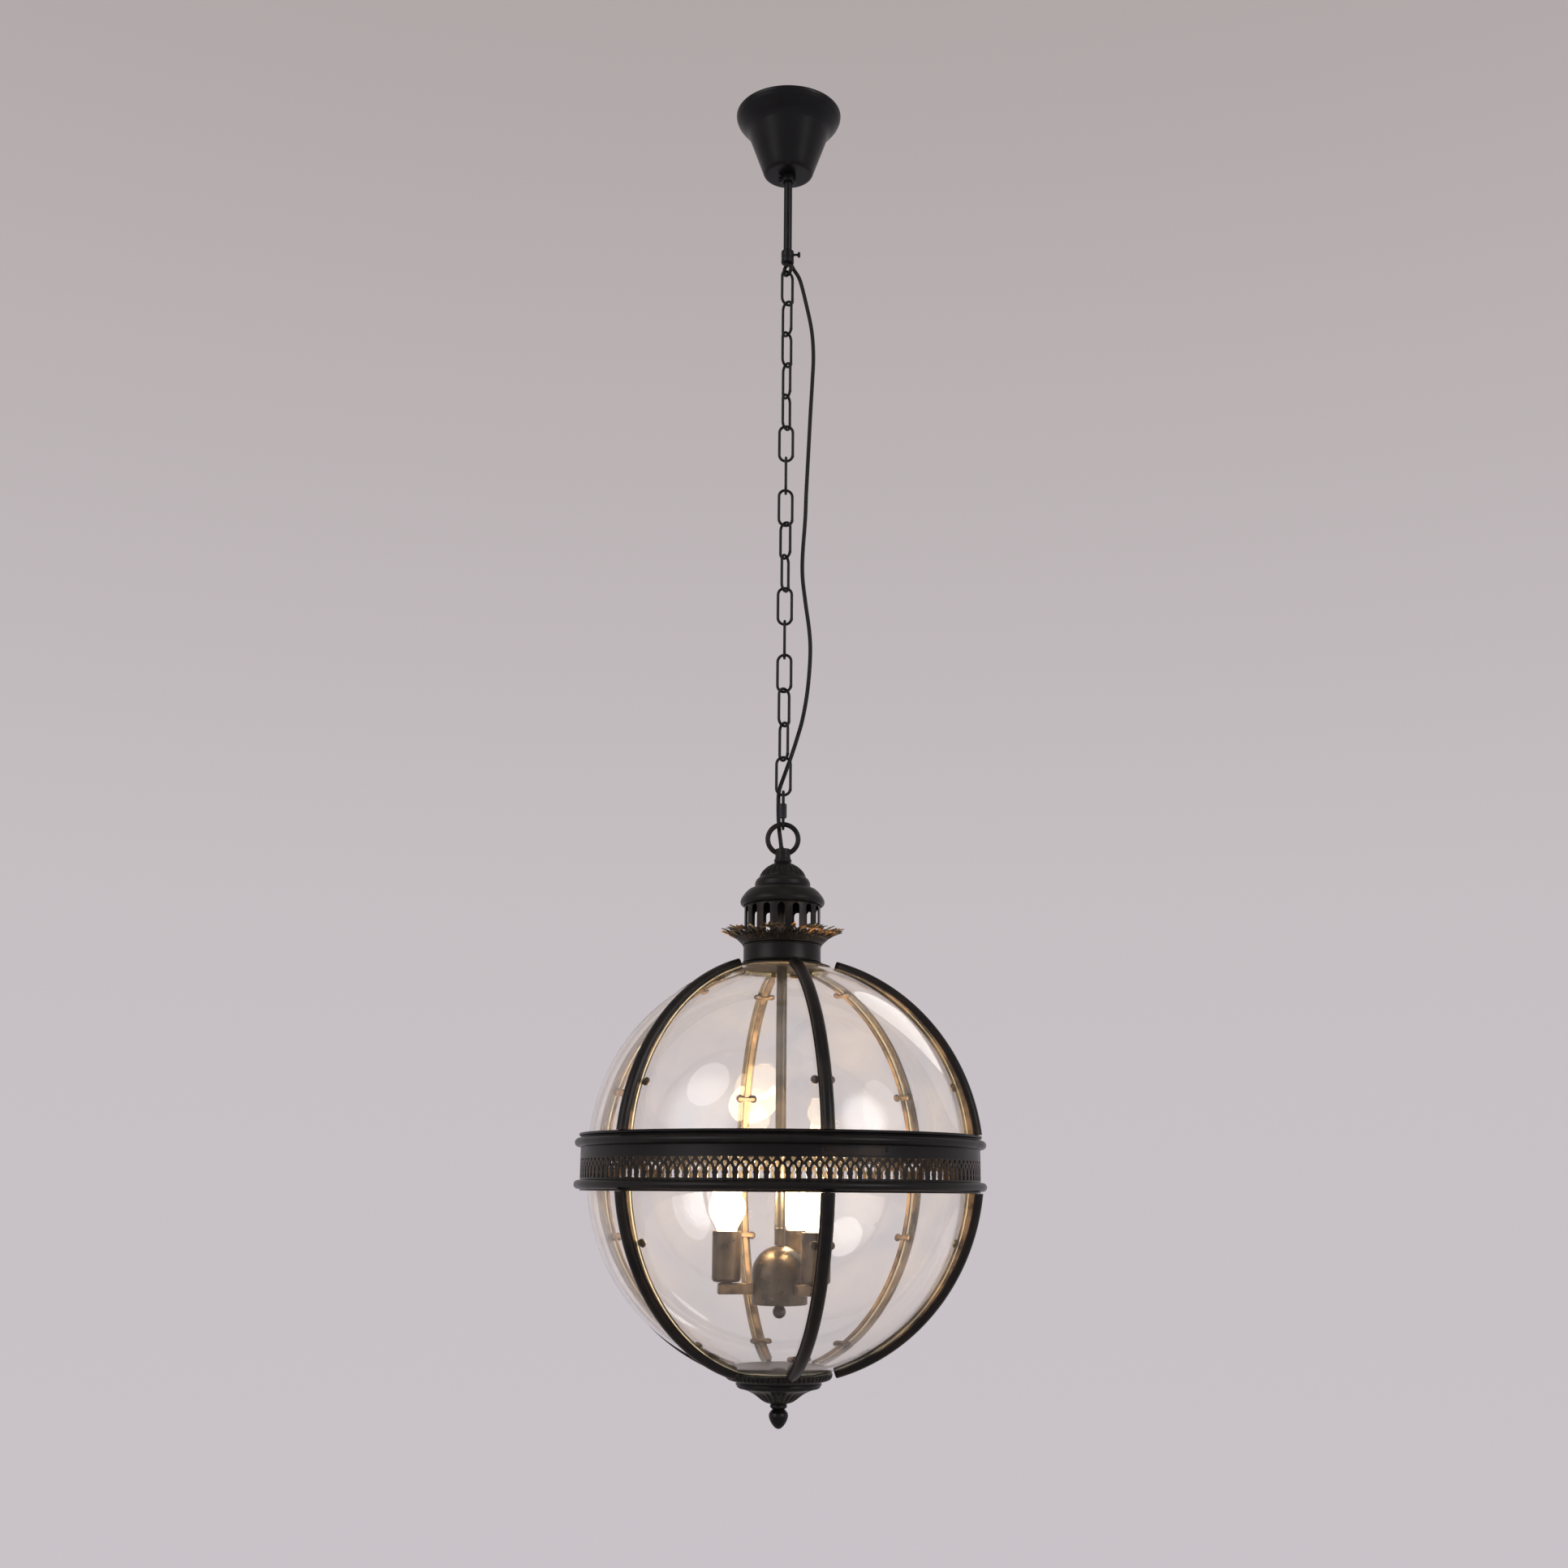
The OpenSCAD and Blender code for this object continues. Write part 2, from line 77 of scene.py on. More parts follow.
camera = bpy.data.objects.new("camera", bpy.data.cameras.new("camera"))
scene.collection.objects.link(camera)
scene.camera = camera
camera.data.sensor_width = 36
camera.data.lens = 40.53
camera.matrix_world = (
    Matrix.Translation((0.0006, -1.766, -1.1796))
    @ Matrix.Rotation(math.radians(90 + 13.02), 4, "X")
    @ Matrix.Rotation(math.radians(0.45), 4, "Z")
)
camera.data.clip_start = 0.05

# ---- materials ----


def new_material(name):
    material = bpy.data.materials.new(name)
    material.use_nodes = True
    tree = material.node_tree
    tree.nodes.clear()
    out = tree.nodes.new("ShaderNodeOutputMaterial")
    return material, tree, out


def feed(tree, socket, value):
    """Wires another node's output to the socket, or sets the socket's own value."""
    if hasattr(value, "is_linked"):
        tree.links.new(value, socket)
    else:
        socket.default_value = value


def add(tree, kind, **settings):
    """A node. Each setting is one of its properties or, by name, one of its sockets."""
    node = tree.nodes.new(kind)
    for key, value in settings.items():
        if hasattr(node, key):
            setattr(node, key, value)
        else:
            feed(tree, node.inputs[key.replace("_", " ")], value)
    return node


def calc(tree, operation, *values):
    node = add(tree, "ShaderNodeMath", operation=operation)
    for socket, value in zip(node.inputs, values):
        feed(tree, socket, value)
    return node.outputs[0]


def ramp(tree, source, *stops):
    """A colour ramp's output. Each stop is (position, colour or grey)."""
    node = add(tree, "ShaderNodeValToRGB", Fac=source)
    while len(node.color_ramp.elements) < len(stops):
        node.color_ramp.elements.new(0.5)
    for element, (at, value) in zip(node.color_ramp.elements, stops):
        element.position = at
        element.color = (*value, 1) if hasattr(value, "__len__") else (value,) * 3 + (1,)
    return node.outputs["Color"]


def mix_colour(tree, factor, a, b, blend="MIX"):
    node = add(tree, "ShaderNodeMix", data_type="RGBA", blend_type=blend)
    for key, value in (("Factor", factor), ("A", a), ("B", b)):
        feed(tree, next(s for s in node.inputs if s.name == key and s.enabled), value)
    return next(s for s in node.outputs if s.enabled)


def mix_shader(tree, factor, a, b):
    node = add(tree, "ShaderNodeMixShader")
    for socket, value in zip(node.inputs, (factor, a, b)):
        feed(tree, socket, value)
    return node.outputs[0]


def surface_group():
    """Wear on edges, fine grain, soft stains and a roughness that follows them."""
    group = bpy.data.node_groups.new("surface detail", "ShaderNodeTree")
    face = group.interface
    for name, value in (("Grain", 0.5), ("Rough low", 0.3), ("Rough high", 0.5), ("Bump", 0.2)):
        face.new_socket(name, in_out="INPUT", socket_type="NodeSocketFloat").default_value = value
    for name, kind in (("Wear", "Float"), ("Stain", "Float"), ("Roughness", "Float"),
                       ("Normal", "Vector")):
        face.new_socket(name, in_out="OUTPUT", socket_type="NodeSocket" + kind)
    start = add(group, "NodeGroupInput")
    end = add(group, "NodeGroupOutput")
    place = add(group, "ShaderNodeTexCoord").outputs["Object"]
    shape = add(group, "ShaderNodeNewGeometry")
    stain = add(group, "ShaderNodeTexNoise", Vector=place, Scale=38, Detail=6, Roughness=0.62)
    grain = add(group, "ShaderNodeTexNoise", Vector=place, Scale=1400, Detail=3)
    edge = ramp(group, shape.outputs["Pointiness"], (0.5, 0.0), (0.56, 1.0))
    broken = ramp(group, stain.outputs["Fac"], (0.42, 0.0), (0.6, 1.0))
    rough = add(group, "ShaderNodeMapRange", Value=stain.outputs["Fac"], From_Min=0.3,
                From_Max=0.7, To_Min=start.outputs["Rough low"],
                To_Max=start.outputs["Rough high"])
    height = calc(group, "MULTIPLY_ADD", grain.outputs["Fac"], start.outputs["Grain"],
                  stain.outputs["Fac"])
    bump = add(group, "ShaderNodeBump", Distance=0.0004, Strength=start.outputs["Bump"],
               Height=height)
    for name, value in (("Wear", calc(group, "MULTIPLY", edge, broken)),
                        ("Stain", stain.outputs["Fac"]), ("Roughness", rough.outputs[0]),
                        ("Normal", bump.outputs[0])):
        feed(group, end.inputs[name], value)
    return group


DETAIL = surface_group()


def lacquer(name, base, worn, rough, grain, bump, metallic=0.0, stain=0.25, wear=1.0,
            patchy=1.0, specular=0.5):
    """Painted or plated metal with stained colour, worn edges and a fine grain."""
    material, tree, out = new_material(name)
    detail = add(tree, "ShaderNodeGroup", node_tree=DETAIL)
    for key, value in (("Grain", grain), ("Rough low", rough[0]), ("Rough high", rough[1]),
                       ("Bump", bump)):
        detail.inputs[key].default_value = value
    tone = ramp(tree, detail.outputs["Stain"], (0.3, tuple(c * (1 - stain) for c in base)),
                (0.7, tuple(min(1, c * (1 + stain)) for c in base)))
    amount = calc(tree, "MULTIPLY", calc(tree, "POWER", detail.outputs["Wear"], patchy), wear)
    shader = add(tree, "ShaderNodeBsdfPrincipled", Roughness=detail.outputs["Roughness"],
                 Base_Color=mix_colour(tree, amount, tone, (*worn, 1)),
                 Normal=detail.outputs["Normal"], Metallic=metallic, Specular_IOR_Level=specular)
    feed(tree, out.inputs["Surface"], shader.outputs[0])
    return material


BLACK = lacquer("black bronze lacquer", (0.0065, 0.0058, 0.006), (0.045, 0.03, 0.02),
                rough=(0.28, 0.40), grain=0.12, bump=0.10, wear=0.5, specular=0.18)
CANOPY = lacquer("canopy lacquer", (0.005, 0.005, 0.0057), (0.02, 0.02, 0.02),
                 rough=(0.28, 0.36), grain=0.1, bump=0.05, wear=0.3, specular=0.16)
CHAIN = lacquer("chain lacquer", (0.005, 0.005, 0.0055), (0.02, 0.018, 0.016),
                rough=(0.28, 0.40), grain=0.1, bump=0.06, wear=0.2, specular=0.22)
NUT = lacquer("dark plated steel", (0.03, 0.03, 0.035), (0.16, 0.155, 0.15),
              rough=(0.28, 0.4), grain=0.2, bump=0.08, metallic=0.8, wear=0.6)
GOLD = lacquer("rubbed gold over black", (0.006, 0.0052, 0.005), (0.36, 0.17, 0.045),
               rough=(0.32, 0.5), grain=0.3, bump=0.2, metallic=0.1, stain=0.5, wear=0.55,
               patchy=4, specular=0.25)
BRONZE = lacquer("textured bronze", (0.062, 0.049, 0.035), (0.24, 0.17, 0.1),
                 rough=(0.2, 0.38), grain=0.9, bump=0.4, metallic=0.75, stain=0.5)
TUBE = lacquer("dark bronze tube", (0.04, 0.038, 0.033), (0.14, 0.11, 0.08),
               rough=(0.3, 0.46), grain=0.6, bump=0.25, metallic=0.6, stain=0.4)
STRIP = lacquer("rubbed bronze strip", (0.048, 0.037, 0.028), (0.17, 0.125, 0.085),
                rough=(0.3, 0.48), grain=0.5, bump=0.2, metallic=0.5, stain=0.4)
STEEL = lacquer("zinc plate", (0.45, 0.46, 0.47), (0.7, 0.7, 0.7),
                rough=(0.28, 0.42), grain=0.3, bump=0.1, metallic=1.0, stain=0.12)
CERAMIC = lacquer("glazed ceramic", (0.78, 0.75, 0.68), (0.85, 0.83, 0.78),
                  rough=(0.12, 0.25), grain=0.1, bump=0.05, stain=0.08)
RUBBER = lacquer("cable sheath", (0.007, 0.007, 0.0078), (0.012, 0.012, 0.013),
                 rough=(0.42, 0.55), grain=0.15, bump=0.06, wear=0.1, stain=0.2, specular=0.22)


def glass_material():
    """Clear glass with dust and faint streaks; shadows pass through it."""
    material, tree, out = new_material("clear glass")
    place = add(tree, "ShaderNodeTexCoord").outputs["Object"]
    dust, cloud, ripple = (
        add(tree, "ShaderNodeTexNoise", Vector=place, **sizes).outputs["Fac"]
        for sizes in ({"Scale": 420, "Detail": 4, "Roughness": 0.7},
                      {"Scale": 14, "Detail": 5, "Roughness": 0.6}, {"Scale": 9, "Detail": 1}))
    specks = ramp(tree, dust, (0.62, 0.0), (0.72, 1.0))
    haze = ramp(tree, cloud, (0.35, 0.0), (0.75, 1.0))
    bump = add(tree, "ShaderNodeBump", Strength=0.18, Distance=0.002, Height=ripple)
    shader = add(tree, "ShaderNodeBsdfPrincipled", Base_Color=(0.993, 0.997, 0.992, 1),
                 Roughness=0.015, IOR=1.45, Metallic=0.0, Transmission_Weight=1.0,
                 Normal=bump.outputs[0])
    film = add(tree, "ShaderNodeBsdfPrincipled", Base_Color=(0.55, 0.52, 0.47, 1), Roughness=0.7)
    soiled = calc(tree, "MULTIPLY_ADD", specks, 0.1, calc(tree, "MULTIPLY", haze, 0.045))
    dirty = mix_shader(tree, soiled, shader.outputs[0], film.outputs[0])
    shadow = add(tree, "ShaderNodeLightPath").outputs["Is Shadow Ray"]
    clear = add(tree, "ShaderNodeBsdfTransparent", Color=(0.97, 0.975, 0.97, 1))
    feed(tree, out.inputs["Surface"], mix_shader(tree, shadow, dirty, clear.outputs[0]))
    return material


def bulb_material():
    """A lit bulb: white at its middle, warm towards its rim."""
    material, tree, out = new_material("lit bulb")
    rim = add(tree, "ShaderNodeLayerWeight", Blend=0.35)
    tint = ramp(tree, rim.outputs["Facing"], (0.0, (1.0, 0.88, 0.66)), (0.6, (1.0, 0.74, 0.42)),
                (1.0, (1.0, 0.48, 0.16)))
    shader = add(tree, "ShaderNodeBsdfPrincipled", Base_Color=(0.9, 0.85, 0.75, 1),
                 Roughness=0.25, Emission_Color=tint, Emission_Strength=4.5)
    feed(tree, out.inputs["Surface"], shader.outputs[0])
    return material


def glass_edge_material():
    """The ground, pale green edge of the panes."""
    material, tree, out = new_material("ground glass edge")
    place = add(tree, "ShaderNodeTexCoord").outputs["Object"]
    chips = add(tree, "ShaderNodeTexNoise", Vector=place, Scale=260, Detail=4).outputs["Fac"]
    shader = add(tree, "ShaderNodeBsdfPrincipled", Metallic=0.0, Transmission_Weight=0.5,
                 Base_Color=ramp(tree, chips, (0.3, (0.55, 0.62, 0.4)), (0.7, (0.88, 0.9, 0.66))),
                 Roughness=ramp(tree, chips, (0.3, 0.28), (0.7, 0.5)))
    feed(tree, out.inputs["Surface"], shader.outputs[0])
    return material


GLASS = glass_material()
GLASS_EDGE = glass_edge_material()
BULB = bulb_material()

# the body a piece rides on, its slot and its material
LANTERN = ("lantern", "black_metal", BLACK)
LAMP = ("lantern", "dark_bronze", BRONZE)
CEILING = ("ceiling_part", "canopy_black", CANOPY)

# ---- mesh helpers ----


def build(name, verts, faces, body, slot, material, nodes=(), angle=38, closed=True):
    """A mesh in the row frame that rides on a body and stands for the given nodes."""
    mesh = bpy.data.meshes.new(name)
    mesh.from_pydata([tuple(v) for v in verts], [], faces)
    work = bmesh.new()
    work.from_mesh(mesh)
    bmesh.ops.remove_doubles(work, verts=work.verts, dist=2e-6)
    if closed:
        bmesh.ops.recalc_face_normals(work, faces=work.faces)
    work.to_mesh(mesh)
    work.free()
    for polygon in mesh.polygons:
        polygon.use_smooth = True
    mesh.set_sharp_from_angle(angle=math.radians(angle))
    mesh.materials.append(material)
    piece = bpy.data.objects.new(name, mesh)
    scene.collection.objects.link(piece)
    if body:
        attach(piece, body)
    if nodes:
        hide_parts(*nodes)
    return piece


def soft(points, size, steps=3, closed=False):
    """The profile with its corners rounded."""
    out = []
    count = len(points)
    for i, p in enumerate(points):
        if not closed and i in (0, count - 1):
            out.append(Vector(p))
            continue
        p = Vector(p)
        a, b = Vector(points[i - 1]), Vector(points[(i + 1) % count])
        la, lb = (a - p).length, (b - p).length
        s = p + (a - p) * min(size / la, 0.42)
        e = p + (b - p) * min(size / lb, 0.42)
        for k in range(steps + 1):
            t = k / steps
            out.append(s * (1 - t) ** 2 + p * 2 * t * (1 - t) + e * t * t)
    return out


def dense(points, gap, closed=False):
    """The profile with no step longer than gap."""
    out = []
    count = len(points)
    for i in range(count if closed else count - 1):
        a, b = Vector(points[i]), Vector(points[(i + 1) % count])
        n = max(1, math.ceil((b - a).length / gap))
        out += [a + (b - a) * k / n for k in range(n)]
    if not closed:
        out.append(Vector(points[-1]))
    return out


def lathe(points, segments=128, closed=False, shape=None, centre=(0, 0, 0)):
    """Vertices and faces of a profile in mm turned about Z. shape changes (r, z) by the turn."""
    verts, faces = [], []
    count = len(points)
    for k in range(segments):
        turn = TAU * k / segments
        for r, z in points:
            if shape:
                r, z = shape(r, z, turn)
            verts.append((centre[0] + r * MM * math.sin(turn), centre[1] - r * MM * math.cos(turn),
                          centre[2] + z * MM))
    for k in range(segments):
        n = (k + 1) % segments
        for i in range(count if closed else count - 1):
            j = (i + 1) % count
            loop = [k * count + i, k * count + j, n * count + j, n * count + i]
            keep = []
            for v in loop:
                if all((Vector(verts[v]) - Vector(verts[w])).length > 1e-6 for w in keep):
                    keep.append(v)
            if len(keep) > 2:
                faces.append(keep)
    return verts, faces


def turned(name, points, body, slot, material, nodes=(), z=0.0, segments=128, closed=False,
           shape=None, round_by=0.4, step=0, angle=38, at=(0, 0), steps=3):
    profile = soft(points, round_by, steps=steps, closed=closed) if round_by else points
    if step:
        profile = dense(profile, step, closed)
    verts, faces = lathe(profile, segments, closed, shape, (at[0], at[1], z))
    return build(name, verts, faces, body, slot, material, nodes, angle)


def skin(rows, count, wrap=False):
    """Faces over rows of count points each: a tube, capped at both ends unless it wraps."""
    faces = []
    for i in range(rows if wrap else rows - 1):
        j = (i + 1) % rows
        for k in range(count):
            m = (k + 1) % count
            faces.append([i * count + k, i * count + m, j * count + m, j * count + k])
    if not wrap:
        faces.append(list(range(count))[::-1])
        faces.append([(rows - 1) * count + k for k in range(count)])
    return faces


def frames(path, closed=False):
    """Axes across a path that turn as little as they can."""
    count = len(path)
    tangents = []
    for i in range(count):
        a = path[(i - 1) % count] if closed or i else path[0]
        b = path[(i + 1) % count] if closed or i < count - 1 else path[-1]
        tangents.append((b - a).normalized())
    side = tangents[0].orthogonal().normalized()
    out = []
    for i, t in enumerate(tangents):
        if i:
            side = side - t * side.dot(t)
            side.normalize()
        out.append((t, side.copy(), t.cross(side)))
    return out


def sweep(path, radius, sides=12, closed=False):
    """A round wire along a path in metres. radius is a number or a function of 0 to 1."""
    verts = []
    last = max(1, len(path) - 1)
    for i, (p, (_, u, v)) in enumerate(zip(path, frames(path, closed))):
        r = radius(i / last) if callable(radius) else radius
        for k in range(sides):
            a = TAU * k / sides
            verts.append(p + u * math.cos(a) * r + v * math.sin(a) * r)
    return verts, skin(len(path), sides, closed)


def joined(parts):
    verts, faces = [], []
    for v, f in parts:
        base = len(verts)
        verts += list(v)
        faces += [[base + i for i in face] for face in f]
    return verts, faces


def moved(part, matrix):
    return [matrix @ Vector(v) for v in part[0]], part[1]


def ring_path(radius, count, centre=Vector()):
    """A circle in the XZ plane, radius in mm, centre in metres."""
    turns = [TAU * k / count for k in range(count)]
    return [centre + Vector((radius * math.cos(a), 0, radius * math.sin(a))) * MM for a in turns]


def spin(angle):
    return Matrix.Rotation(math.radians(angle), 4, "Z")


def oval_path(length, bend, steps=14):
    """A closed oval in the XZ plane about the origin, in mm."""
    half = length / 2 - bend
    out = []
    for sign, start in ((1, 0), (-1, 180)):
        for k in range(steps + 1):
            a = math.radians(start + 180 * k / steps)
            out.append(Vector((bend * math.cos(a), 0, sign * half + bend * math.sin(a))))
        for k in range(1, 6):
            x = -sign * bend
            out.append(Vector((x, 0, sign * half * (1 - 2 * k / 6))))
    return out


def chamfered_bar(y0, y1, side, cut):
    """A square tube along Y with rounded edges and a closed, rounded end."""
    ring = []
    h = side / 2
    for sx, sz in ((1, 1), (-1, 1), (-1, -1), (1, -1)):
        cx, cz = sx * (h - cut), sz * (h - cut)
        base = math.atan2(sz, sx) - math.pi / 4
        for k in range(4):
            a = base + math.pi / 2 * k / 3
            ring.append((cx + cut * math.cos(a), cz + cut * math.sin(a)))
    rows = [(y0, 0.9), (y0 + 0.25, 0.965), (y0 + 0.9, 1), (y1, 1)]
    verts = [Vector((x * s, y, z * s)) for y, s in rows for x, z in ring]
    return verts, skin(len(rows), len(ring))


# ---- chain, loop and quick link ----

LINK_TURNS = [38, -51, 50, -58, 58, 0, 90, 10, -45, 61, 0, 90, -12, 43, -55, 0]
for i, turn in enumerate(LINK_TURNS):
    name = f"link_{i + 1:02d}"
    a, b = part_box(name)
    length = (b.z - a.z) / MM - 3.0
    path = oval_path(length, 7.2)
    count = len(path)
    weld = count * 3 // 4 + 3

    def wire(t, weld=weld, count=count):
        away = abs(t * (count - 1) - weld)
        return (1.5 + 0.28 * math.exp(-away * away / 0.5)) * MM

    place = Matrix.Translation((0, 0, (a.z + b.z) / 2)) @ spin(turn) @ Matrix.Scale(MM, 4)
    path = [place @ p for p in path]
    verts, faces = sweep(path, wire, 14, True)
    build(f"chain_{name}", verts, faces, "first_link" if i == 0 else "chain", "chain_black",
          CHAIN, [name], angle=60)

a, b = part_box("quick_link")
QUICK_Z = (a.z + b.z) / 2
full = oval_path((b.z - a.z) / MM - 3.2, 7.2, 16)
full = [Matrix.Translation((0, 0, QUICK_Z)) @ spin(90) @ (p * MM) for p in full]
nut_low, nut_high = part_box("quick_link_nut")
gap_low, gap_high = nut_low.z + 0.0015, nut_low.z + 0.006
dense_path = []
for i, p in enumerate(full):
    q = full[(i + 1) % len(full)]
    n = 6 if (p - q).length > 0.0025 else 1
    dense_path += [p.lerp(q, k / n) for k in range(n)]


def on_nut_side(p, foot, top):
    return p.y < -0.0071 and foot < p.z < top


start = next(i for i, p in enumerate(dense_path) if on_nut_side(p, gap_low, gap_high))
ordered = dense_path[start:] + dense_path[:start]
ordered = [p for p in ordered if not on_nut_side(p, gap_low, gap_high)]


def threaded(t):
    """The wire is a little thinner where the nut runs."""
    p = ordered[round(t * (len(ordered) - 1))]
    return (1.55 if on_nut_side(p, nut_low.z - 0.001, nut_high.z + 0.002) else 1.6) * MM


build("quick_link_wire", *sweep(ordered, threaded, 16), "quick_link", "chain_black", CHAIN,
      ["quick_link"], angle=50)

nut_c = Vector((0, (nut_low.y + nut_high.y) / 2, (nut_low.z + nut_high.z) / 2))
half = (nut_high.z - nut_low.z) / 2 / MM


def hexagon(r, z, turn):
    """Turned ends on six flats."""
    flat = 3.12 / max(math.cos((turn + TAU / 12) % (TAU / 6) - TAU / 12), 0.5)
    return (min(r, flat) if r > 2.2 else r), z


turned("quick_link_nut_body", [(2.0, -half), (3.0, -half), (3.6, -half + 0.9), (3.6, half - 0.9),
                               (3.0, half), (2.0, half)], "quick_link_nut", "nut_steel", NUT,
       ["quick_link_nut"], z=nut_c.z, segments=96, closed=True, shape=hexagon, round_by=0.15,
       at=(nut_c.x, nut_c.y), angle=25)

EYE = Vector(JOINTS["loop_swing"]["pos_m"])
coupling_top = high("hook_loop").z
turned("loop_coupling", [(0, -15), (6.2, -15), (7, -14), (7, -9.4), (6.6, -9), (6.6, -7.6),
                         (7, -7.2), (7, -0.8), (6.3, 0), (4.7, 0), (4.7, -2)],
       *CEILING, z=coupling_top, segments=64, round_by=0.5)
eye_at = Matrix.Translation(EYE + Vector((0, 0, 0.006))) @ spin(-52)
eye = sweep([eye_at @ p for p in ring_path(6, 48)], 2 * MM, 16, True)
shank = lathe([(0, -3), (2.4, -3), (2.9, -1.6), (3.4, 0.4), (0, 0.4)], 32,
              centre=(0, 0, coupling_top - 15 * MM))
build("loop_eye", *joined([eye, shank]), *CEILING, ["hook_loop"], angle=60)

screw_low, screw_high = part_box("hook_screw")
screw_points = [(0, 0), (1.25, 0), (1.25, 5.6), (1.9, 6), (2.9, 6.6), (3.1, 7.2), (3.1, 8.3),
                (2.4, 9.0), (0, 9.15)]


def knurled(r, z, turn):
    return (r * (1 + 0.035 * math.cos(turn * 18)) if r > 2.5 else r), z


verts, faces = lathe(soft(screw_points, 0.25), 108, shape=knurled)
lay_down = Matrix.Translation((screw_low.x, 0, (screw_low.z + screw_high.z) / 2)) @ \
    Matrix.Rotation(math.radians(90), 4, "Y")
build("thumb_screw", *moved((verts, faces), lay_down), "hook_screw", "canopy_black", CANOPY,
      ["hook_screw"])

# ---- canopy and stem ----

canopy_top = high("canopy").z
turned("canopy_cone", [(5.1, -75), (24.6, -75), (27.2, -73.2), (30.4, -64), (44.2, -24.2),
                       (46.6, -19.6), (51.4, -14.2), (56.6, -7.6), (57.3, -5.6), (58.3, -3.4),
                       (58.4, -0.4), (57.3, -0.4), (56.6, -4), (50.4, -13.2), (43.2, -23.8),
                       (26.2, -72.4), (24.4, -73.8), (5.1, -73.8)],
       "canopy", "canopy_black", CANOPY, ["canopy"], segments=160, closed=True, round_by=1.6,
       steps=4)
collar_top = high("canopy_collar").z
turned("canopy_lock_collar", [(5.0, -9), (7.4, -9), (8.4, -8), (8.4, 0), (5.0, 0)], "canopy",
       "canopy_black", CANOPY, z=collar_top, segments=64, closed=True, round_by=0.5)
head = lathe(soft([(0, 0.8), (0.5, 0.8), (0.5, 0.2), (1.1, 0), (1.5, 0.4), (1.5, 1.5),
                   (1.1, 3.2), (0, 3.2)], 0.2), 24)
screws = [moved(head, Matrix.Translation((-10.9 * MM, 0, collar_top + height * MM))
                @ Matrix.Rotation(math.radians(90), 4, "Y")) for height in (-6.4, -2.6)]
build("canopy_lock_screws", *joined(screws), "canopy", "canopy_black", CANOPY, ["canopy_collar"])

stem_low, stem_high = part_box("stem_tube")
stem_mm = (stem_high.z - stem_low.z) / MM
turned("stem_pipe", [(3.6, -stem_mm), (4.6, -stem_mm), (4.6, -0.2), (4.3, 0), (3.6, 0)],
       *CEILING, ["stem_tube"], z=stem_high.z, segments=48, closed=True, round_by=0.2)

# ---- ring, cap and drum ----

ring_middle = (low("hanging_ring") + high("hanging_ring")) / 2
build("hanging_ring_wire", *sweep(ring_path(15.45, 72, ring_middle), 2.55 * MM, 18, True),
      *LANTERN, ["hanging_ring"], angle=60)

CAP = [(0, -0.4), (6.6, 0), (7.5, -0.3), (8.1, -1.2), (8.0, -4), (7.6, -7.6), (8.1, -10.4),
       (8.9, -11.3), (9.0, -12.4), (8.8, -13.5), (8.1, -14.3), (9.4, -15.3), (12.2, -16.7),
       (15.6, -18.9), (18.5, -21.6), (20.8, -24.2), (22.5, -27), (23.5, -29.2), (23.6, -30.0),
       (25.1, -30.7), (26.6, -32.4), (27.8, -34.8), (28.2, -37.2), (27.9, -39.1), (29.6, -40.4),
       (33.7, -42.1), (37, -45), (39.8, -48.6), (41.9, -52.0), (42.7, -54.9), (42.1, -57.4),
       (40.6, -58.9), (39.2, -58.9), (38.9, -57.5), (40.3, -54.7), (39.6, -52.2), (38.2, -49.8),
       (35.5, -46.6), (32.5, -43.8), (26.2, -41.3), (0, -41.0)]


def flutes(r, z, turn):
    """Leaf-like flutes on the dome."""
    if -29.0 < z < -15.5 and r > 9:
        t = (z + 29.0) / 13.5
        depth = 0.11 * math.sin(math.pi * t) ** 0.5
        r *= 1 + depth * (abs(math.cos(turn * 12)) ** 0.7 - 0.75)
    return r, z


turned("dome_cap_shell", CAP, *LANTERN, ["dome_cap"], z=NECK, segments=312, shape=flutes,
       round_by=0.5, step=1.2, angle=50)


def cell(name, outline, holes, thick):
    """One flat repeat of a pierced sheet, with open sides. Lengths in mm."""
    curve = bpy.data.curves.new(name, "CURVE")
    curve.dimensions = "2D"
    curve.fill_mode = "BOTH"
    curve.extrude = thick / 2
    for loop in [outline, *holes]:
        spline = curve.splines.new("POLY")
        spline.points.add(len(loop) - 1)
        for point, (x, y) in zip(spline.points, loop):
            point.co = (x, y, 0, 1)
        spline.use_cyclic_u = True
    holder = bpy.data.objects.new(name, curve)
    mesh = bpy.data.meshes.new_from_object(holder)
    verts = [v.co.copy() for v in mesh.vertices]
    xs = [p[0] for p in outline]
    edge = max(xs) - 1e-4, min(xs) + 1e-4
    faces = []
    for polygon in mesh.polygons:
        across = [verts[i].x for i in polygon.vertices]
        if min(across) > edge[0] or max(across) < edge[1]:
            continue
        faces.append(list(polygon.vertices))
    bpy.data.objects.remove(holder)
    bpy.data.meshes.remove(mesh)
    bpy.data.curves.remove(curve)
    return verts, faces


def wrapped(part, radius, count, start=0.0):
    """A flat repeat laid round a cylinder count times. x runs along it, y is the height."""
    parts = []
    for k in range(count):
        verts = []
        for v in part[0]:
            turn = math.radians(start) + TAU * k / count + v.x / radius
            r = (radius + v.z) * MM
            verts.append(Vector((r * math.sin(turn), -r * math.cos(turn), NECK + v.y * MM)))
        parts.append((verts, part[1]))
    return joined(parts)


